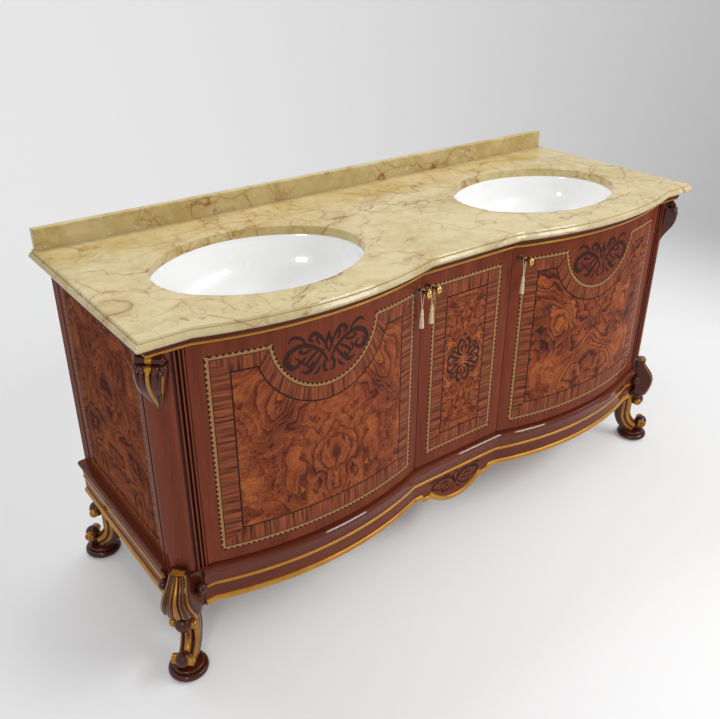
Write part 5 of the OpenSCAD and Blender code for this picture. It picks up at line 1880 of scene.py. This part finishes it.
@dataclass
class Door:
    """A door: a bowed or flat board, its bands and fields of veneer, its knob and its tassel."""

    body: Body
    name: str
    x0: float
    x1: float
    outer: PanelLine
    inner: PanelLine
    ornament: Ornament
    knob_x: float
    knob_z: float = 828.0
    knob_out: float = 40.0
    tassel_out: float = 19.0
    tassel_drop: float = 45.0
    low: float = 286.0
    high: float = 856.0
    thick: float = 22.0

    @property
    def face(self) -> float:
        """Depth of the door's face at the knob."""
        return float(CASE.front_y(np.array(self.knob_x)))

    def board(self, finishes: "Finishes") -> None:
        """Makes the board: its plan runs along the front face and back along the one behind, edges eased."""
        span, ease = np.linspace(self.x0, self.x1, 66), 1.0
        x = np.array([self.x0, self.x0 + ease, *span[1:-1], self.x1 - ease, self.x1])
        y = CASE.front_y(x)
        y[[0, -1]] += ease
        back = np.column_stack([span, CASE.front_y(span, -self.thick)])[::-1]
        patch = Part.stacked(np.vstack([np.column_stack([x, y]), back]), self.low, self.high)
        Part.make(f"{self.name}_door_board", [patch], [finishes.upright], self.body, Slot.VENEER,
                  [f"{self.name}_door"], 30.0)

    def marquetry(self, finishes: "Finishes") -> None:
        """Makes the veneers and lines as thin strips on the face, the ornament last."""
        patches = [
            self.inner.field(0.10, on_front, 0),
            *between(self.outer, self.inner, 0.14, on_front, 1),
            Strip(self.inner.path(), -1.8, 1.8, 0.20, on_front).patch(2),
            Strip(self.outer.path(), -8.0, 3.5, 0.24, on_front).patch(3),
            *self.ornament.patches(on_front, 4),
        ]
        used = [finishes.burls[self.name], finishes.crossband, finishes.ebony, finishes.stringing,
                finishes.scroll]
        Part.make(f"{self.name}_marquetry", patches, used, self.body, Slot.VENEER)

    def knob(self, finishes: "Finishes") -> None:
        """Makes the knob: rose and neck turned on the door's normal, and an upright head with two beads."""
        x, y, z = self.knob_x, self.face, self.knob_z
        rose = np.vstack([[[0, 0.2], [8.6, 0.2]], arc(7.9, 1.6, 1.2, -60, 90, 7), [[6.6, 2.8], [6.6, 3.4]],
                          arc(5.6, 4.0, 1.0, 0, 90, 5), [[4.2, 5.4], [3.6, 7.0], [3.2, 12.0], [3.4, 26.0],
                          [4.2, 31.0], [0, 34.5]]])
        half, r = 11.5, 8.6
        big = (half**2 + r**2) / (2 * r)
        turn = math.degrees(math.asin(half / big))
        head = arc(r - big, 0.0, big, -turn, turn, 27)
        head[:, 0] = np.maximum(head[:, 0], 1.6)
        bead = arc(0.0, half, 2.2, -40, 90, 9)
        profile = poled(np.vstack([bead[::-1] * [1, -1], head[1:-1], bead]))
        patches = [Part.turned(rose, lambda a, b, h: np.stack([x + a, y - h, z + b], -1), 40, finish=1),
                   Part.turned(profile,
                               lambda a, b, h: np.stack([x + a, y - self.knob_out + b, z + h], -1), 48)]
        Part.make(f"{self.name}_knob_turned", patches, [finishes.brass, finishes.plate], self.body,
                  Slot.BRASS, [f"{self.name}_knob"], 40.0)

    def tassel(self, finishes: "Finishes") -> bpy.types.Object:
        """Makes the tassel, a turned form whose radius ripples by cosines of the angle where threads show."""
        x, y, top = self.knob_x, self.face - self.tassel_out, self.knob_z - self.tassel_drop
        profile = spline([[0, 0], [2.3, -0.3], [2.4, -2.2], [3.9, -4.2], [4.4, -6.5], [3.7, -9.0],
                          [5.2, -12.0], [5.3, -17.5], [4.3, -19.6], [4.25, -21.4], [5.4, -23.4], [5.9, -30.0],
                          [6.4, -40.0], [6.9, -50.4], [5.5, -51.0], [0, -50.2]], 90) * [0.86, 1.0]

        def ripple(angle: Array, height: Array) -> Array:
            """The threads' factor on the radius."""
            threads = np.clip((-height - 22.0) / 3.0, 0, 1)
            return 1 + threads * (0.035 * np.cos(26 * angle) + 0.02 * np.cos(9 * angle + height / 7))

        threads = Part.turned(poled(profile), lambda a, b, h: np.stack([x + a, y + b, top + h], -1),
                              130, ripple)
        return Part.make(f"{self.name}_tassel_thread", [threads], [finishes.thread], self.body, Slot.THREAD,
                         [f"{self.name}_tassel"], 60.0)

    def cord(self, finishes: "Finishes", tassel: bpy.types.Object) -> None:
        """Args:
            finishes: the finishes.
            tassel: the tassel's piece, which is not used.
        """
        half = [(-1, -45), (-1, -42.5), (-1.4, -38.5), (-1.9, -34.5), (-2.4, -30.5), (-2.9, -26.5),
                (-3.4, -22.5), (-3.9, -18.5), (-4.4, -14.5), (-4.9, -10.5), (-5.4, -6.5), (-5.8, -2.5),
                (-5.5, 1.5), (-3.6, 4.5)]
        line = spline([*half, (0, 5.8), *[(-x, z) for x, z in half[::-1]]], 113)
        depth = np.full(len(line), self.face - self.tassel_out)
        centre = np.column_stack([line[:, 0] + self.knob_x, depth, line[:, 1] + self.knob_z])
        run = np.gradient(line, axis=0)
        run /= np.linalg.norm(run, axis=1, keepdims=True)
        along = lengths(line, 0)[:, None]
        angle = np.linspace(0, math.tau, 17)[None, :]
        radius = 0.8 * (1 - 0.1 * (1 - np.cos(2 * (angle - along * 1.6))) / 2)
        points = np.stack([centre[:, :1] - run[:, 1:] * radius * np.cos(angle),
                           centre[:, 1:2] + radius * np.sin(angle),
                           centre[:, 2:] + run[:, :1] * radius * np.cos(angle)], -1)
        mapping = np.stack([angle / math.tau + 0 * along, along / MM + 0 * angle], -1)
        loop = Part.make(f"{self.name}_tassel_loop", [Patch(points, mapping, caps=True)], [finishes.thread],
                         self.body, Slot.THREAD, [f"{self.name}_tassel_cord"], 60.0)
        length = float(along[-1, 0]) / MM
        places = Part.place(centre)
        log.info("%s loop is %.4f m long", self.name, length)

    def make(self, finishes: "Finishes") -> None:
        """Makes everything of this door."""
        self.cord(finishes, self.tassel(finishes))
        self.knob(finishes)
        self.board(finishes)
        self.marquetry(finishes)


class Doors:
    """The three doors."""

    def make(self, finishes: "Finishes") -> None:
        """Makes the side doors, whose panels have a bite, and the flat middle door."""
        outer, inner = PanelLine(197, 745, 323, 817, 143.9), PanelLine(238, 701, 369, 780, 181.0)
        left, right = (Ornament(ARABESQUE, (way * outer.mid, 775.0), (113.0, 53.0)) for way in (-1, 1))
        middle = Ornament(ROSETTE, (0.0, 577.0), (58.0, 67.0), fourfold=True)
        for door in (
                Door(Body.LEFT, "left", -786.5, -158.0, outer.mirrored(), inner.mirrored(), left, -177.0),
                Door(Body.CENTRE, "centre", -156.5, 156.5, PanelLine(-112, 112, 330, 816),
                     PanelLine(-71, 71, 370, 776), middle, -140.0),
                Door(Body.RIGHT, "right", 158.0, 786.5, outer, inner, right, 177.0)):
            door.make(finishes)


class Sides:
    """The side panels' veneers and the inlay of the base's drop."""

    def make(self, finishes: "Finishes") -> None:
        """Makes the veneers of both side panels and the inlay in the middle of the base."""
        outer, inner = PanelLine(-494.0, -60.0, 303.0, 836.0), PanelLine(-478.0, -76.0, 319.0, 820.0)
        patches = [inner.field(0.10, on_side, 0), *between(outer, inner, 0.12, on_side, 1),
                   Strip(inner.path(), -1.2, 1.2, 0.18, on_side).patch(2),
                   Strip(outer.path(), -3.5, 2.5, 0.20, on_side).patch(3)]
        used = [finishes.side_burl_shaded, finishes.crossband, finishes.ebony, finishes.side_string]
        Part.pair("{}_side_marquetry", patches, used, Slot.VENEER)
        x = np.linspace(-101.0, 101.0, 60)
        panel = upright(x, 256.0 - over(110.0, x), np.full_like(x, 220.0), 8, 0.1, on_apron, 0)
        scrolls = Ornament(APRON, (0.0, 186.0), (98.0, 35.0), 0.3).patches(on_apron, 1)
        Part.make("apron_marquetry", [panel, *scrolls], [finishes.upright, finishes.scroll], Body.CASE,
                  Slot.VENEER, ["apron_inlay"])


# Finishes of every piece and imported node


class Finishes:
    """All materials of the scene."""

    def __init__(self) -> None:
        """Makes the materials."""
        self.upright = Mahogany(Grain.UPRIGHT).make("mahogany_upright")
        # the posts' mahogany paints shade into the marked flutes
        self.post = Mahogany(Grain.UPRIGHT, coat=0.3, haze=0.04, stained=True).make("mahogany_post")
        self.along = Mahogany(Grain.MAPPED).make("mahogany_along")
        self.run = Mahogany(Grain.MAPPED, (0.070, 0.0135, 0.0070), (0.225, 0.049, 0.0200), 0.5, 0.04).make(
            "mahogany_moulding")
        # painted shade: a darker copy of the mahogany for the cornice under the marble's overhang
        self.shaded = Mahogany(Grain.MAPPED, (0.06, 0.013, 0.007),
                               (0.19, 0.047, 0.023)).make("mahogany_cornice")
        pale = {"dark": (0.16, 0.075, 0.032), "light": (0.42, 0.235, 0.110), "coat": 0.1}
        self.lining = Mahogany(Grain.MAPPED, **pale).make("lining_wood")
        self.lining_up = Mahogany(Grain.UPRIGHT, **pale).make("lining_upright")
        self.carved = Carved().make("carved_parcel_gilt")
        self.gold = Gilding().make("gilding")
        self.marble = Marble().make("cream_marble")
        self.glaze = Glaze().make("white_glaze")
        self.brass = Metal((0.80, 0.53, 0.17), (0.50, 0.29, 0.08), 0.16).make("turned_brass")
        self.plate = Metal((0.240, 0.110, 0.050), (0.120, 0.050, 0.026), 0.36).make("aged_brass_plate")
        self.steel = Metal((0.60, 0.61, 0.62), (0.42, 0.43, 0.45), 0.32).make("zinc_steel")
        self.thread = Thread().make("silk_thread")
        self.crossband = Crossband().make("crossband_veneer")
        self.stringing = Stringing().make("saw_tooth_stringing")
        self.side_string = Stringing(0.011, 0.9, 0.95, (0.30, 0.17, 0.08)).make("dashed_stringing")
        self.ebony = Inlay().make("dark_line")
        self.scroll = Inlay((0.022, 0.0095, 0.0075), (0.060, 0.024, 0.016)).make("dark_scroll")
        self.burls = {
            "left": Burl((-0.455, 0.0, 0.50), seed=0.3).make("burl_left"),
            "right": Burl((0.475, 0.0, 0.52), seed=7.7, arch=0.3).make("burl_right"),
            "centre": Burl((0.0, 0.0, 0.577), fourfold=True, seed=4.2, arch=0.4,
                           fineness=2.2).make("burl_centre"),
        }
        # painted shade on the side panels: their burl has its mid and light tones at 0.8 of the doors' burl
        self.side_burl_shaded = Burl((0.0, 0.065, 0.57), across=1, seed=6.0, coat=0.06,
                              mid=(0.180, 0.0400, 0.0140), light=(0.375, 0.108, 0.029)).make("burl_side")

    def dress(self) -> None:
        """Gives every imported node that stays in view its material."""
        used = {name: material for material, names in (
            (self.lining, ("back_panel", "bottom_board", "rear_rail", "rear_plinth")),
            (self.lining_up, ("corner_blocks", "left_partition", "right_partition")),
            (self.along, ("front_rail",)),
            (self.steel, ("basin_clips", "magnet_catches", "left_strike", "centre_strike", "right_strike")),
        ) for name in names}
        for name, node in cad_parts.items():
            material = used.get(name, self.plate if name.endswith("leaves") else self.upright)
            node.data.materials.clear()
            node.data.materials.append(material)
            for polygon_slot in node.material_slots:
                polygon_slot.material = material
        log.info("dressed %d packed nodes", len(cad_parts))


# Studio


@dataclass
class Studio:
    """The camera, the floor and the lamps."""

    place: tuple[float, float, float] = (-1.3866, -1.6290, 1.6040)
    yaw: float = 37.16
    pitch: float = 28.03
    roll: float = 0.16
    focal: float = 818.48
    width: float = 720.0
    sensor: float = 36.0
    reach: float = 30.0
    gap: float = 0.0005

    def camera(self) -> None:
        """Sets the fitted camera: turned by the yaw, down by the pitch and about its own axis by the roll."""
        yaw, pitch, roll = (math.radians(a) for a in (self.yaw, self.pitch, self.roll))
        data = bpy.data.cameras.new("camera")
        data.sensor_width = self.sensor
        data.lens = self.focal * self.sensor / self.width
        camera = linked("camera", data)
        turned = Matrix.Translation(self.place)
        for angle, axis in ((-yaw, "Z"), (math.pi / 2 - pitch, "X"), (roll, "Z")):
            turned = turned @ Matrix.Rotation(angle, 4, axis)
        camera.matrix_world = turned
        bpy.context.scene.camera = camera

    def lamp(self, name: str, at: Sequence[float], to: Sequence[float], size: Sequence[float],
             power: float, colour: Colour = (1.0, 1.0, 1.0)) -> None:
        """Adds a rectangular soft lamp.

        Args:
            name: the lamp's name.
            at: its place in metres.
            to: the point that it faces.
            size: its two sides in metres.
            power: its power in watts.
            colour: its colour.
        """
        data = bpy.data.lights.new(name, "AREA")
        data.shape = "RECTANGLE"
        data.size, data.size_y = size
        data.energy = power
        data.color = colour
        lamp = linked(name, data)
        lamp.location = at
        lamp.rotation_euler = (Vector(to) - Vector(at)).to_track_quat("-Z", "Y").to_euler()

    def floor(self) -> None:
        """Makes the floor, a wide flat grid."""
        count = 9
        x, y = np.meshgrid(*[np.linspace(-self.reach, self.reach, count)] * 2, indexing="ij")
        mesh = bpy.data.meshes.new("floor")
        points = np.stack([x, y, np.full_like(x, -self.gap)], -1).reshape(-1, 3)
        mesh.from_pydata(points.tolist(), [], squares(count, count).tolist())
        mesh.materials.append(Floor().make("studio_floor"))
        floor = linked("floor", mesh)
        floor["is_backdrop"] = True

    def light(self) -> None:
        """Sets an even pale world and the lamps: two over the top, two from the right and a weak fill."""
        scene = bpy.context.scene
        world = bpy.data.worlds.new("studio")
        Sky(world).make((0.50, 0.50, 0.495))
        scene.world = world
        scene.view_settings.view_transform = "Standard"
        self.lamp("over_left", (-0.75, 0.95, 2.9), (-0.47, -0.03, 0.9), (1.3, 0.8), 18.0)
        self.lamp("over_right", (0.25, 1.05, 2.9), (0.47, -0.03, 0.9), (1.3, 0.8), 12.5)
        self.lamp("key", (2.0, -2.4, 2.75), (0.0, -0.3, 0.55), (2.3, 0.5), 64.0, (1.0, 0.985, 0.96))
        self.lamp("side", (3.1, -0.6, 2.75), (0.1, -0.3, 0.55), (2.2, 0.5), 22.0)
        self.lamp("front_left", (-2.8, -2.4, 2.4), (-0.4, -0.1, 0.5), (0.6, 0.6), 22.0)

    def make(self) -> None:
        """Makes the whole studio."""
        self.camera()
        self.floor()
        self.light()


def save_sizes(packed: Any) -> None:
    plain = lambda box: [[float(v) for v in corner] for corner in box]
    {"cad": plain(packed), "visual": plain(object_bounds())}


def main() -> None:
    """Builds the studio and every piece, in order."""
    logging.basicConfig(level=logging.INFO, format="%(name)s: %(message)s")
    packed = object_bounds()
    Studio().make()
    finishes = Finishes()
    finishes.dress()
    Doors().make(finishes)
    top = Top()
    top.slab(finishes.marble)
    top.splash(finishes.marble)
    top.bowls(finishes.glaze)
    mouldings = Mouldings()
    mouldings.cornice(finishes.shaded, finishes.gold)
    mouldings.base(finishes.run, finishes.gold)
    Posts().make(finishes.post)
    Carving().make(finishes.carved)
    Sides().make(finishes)
    save_sizes(packed)


if __name__ == "__main__":
    main()
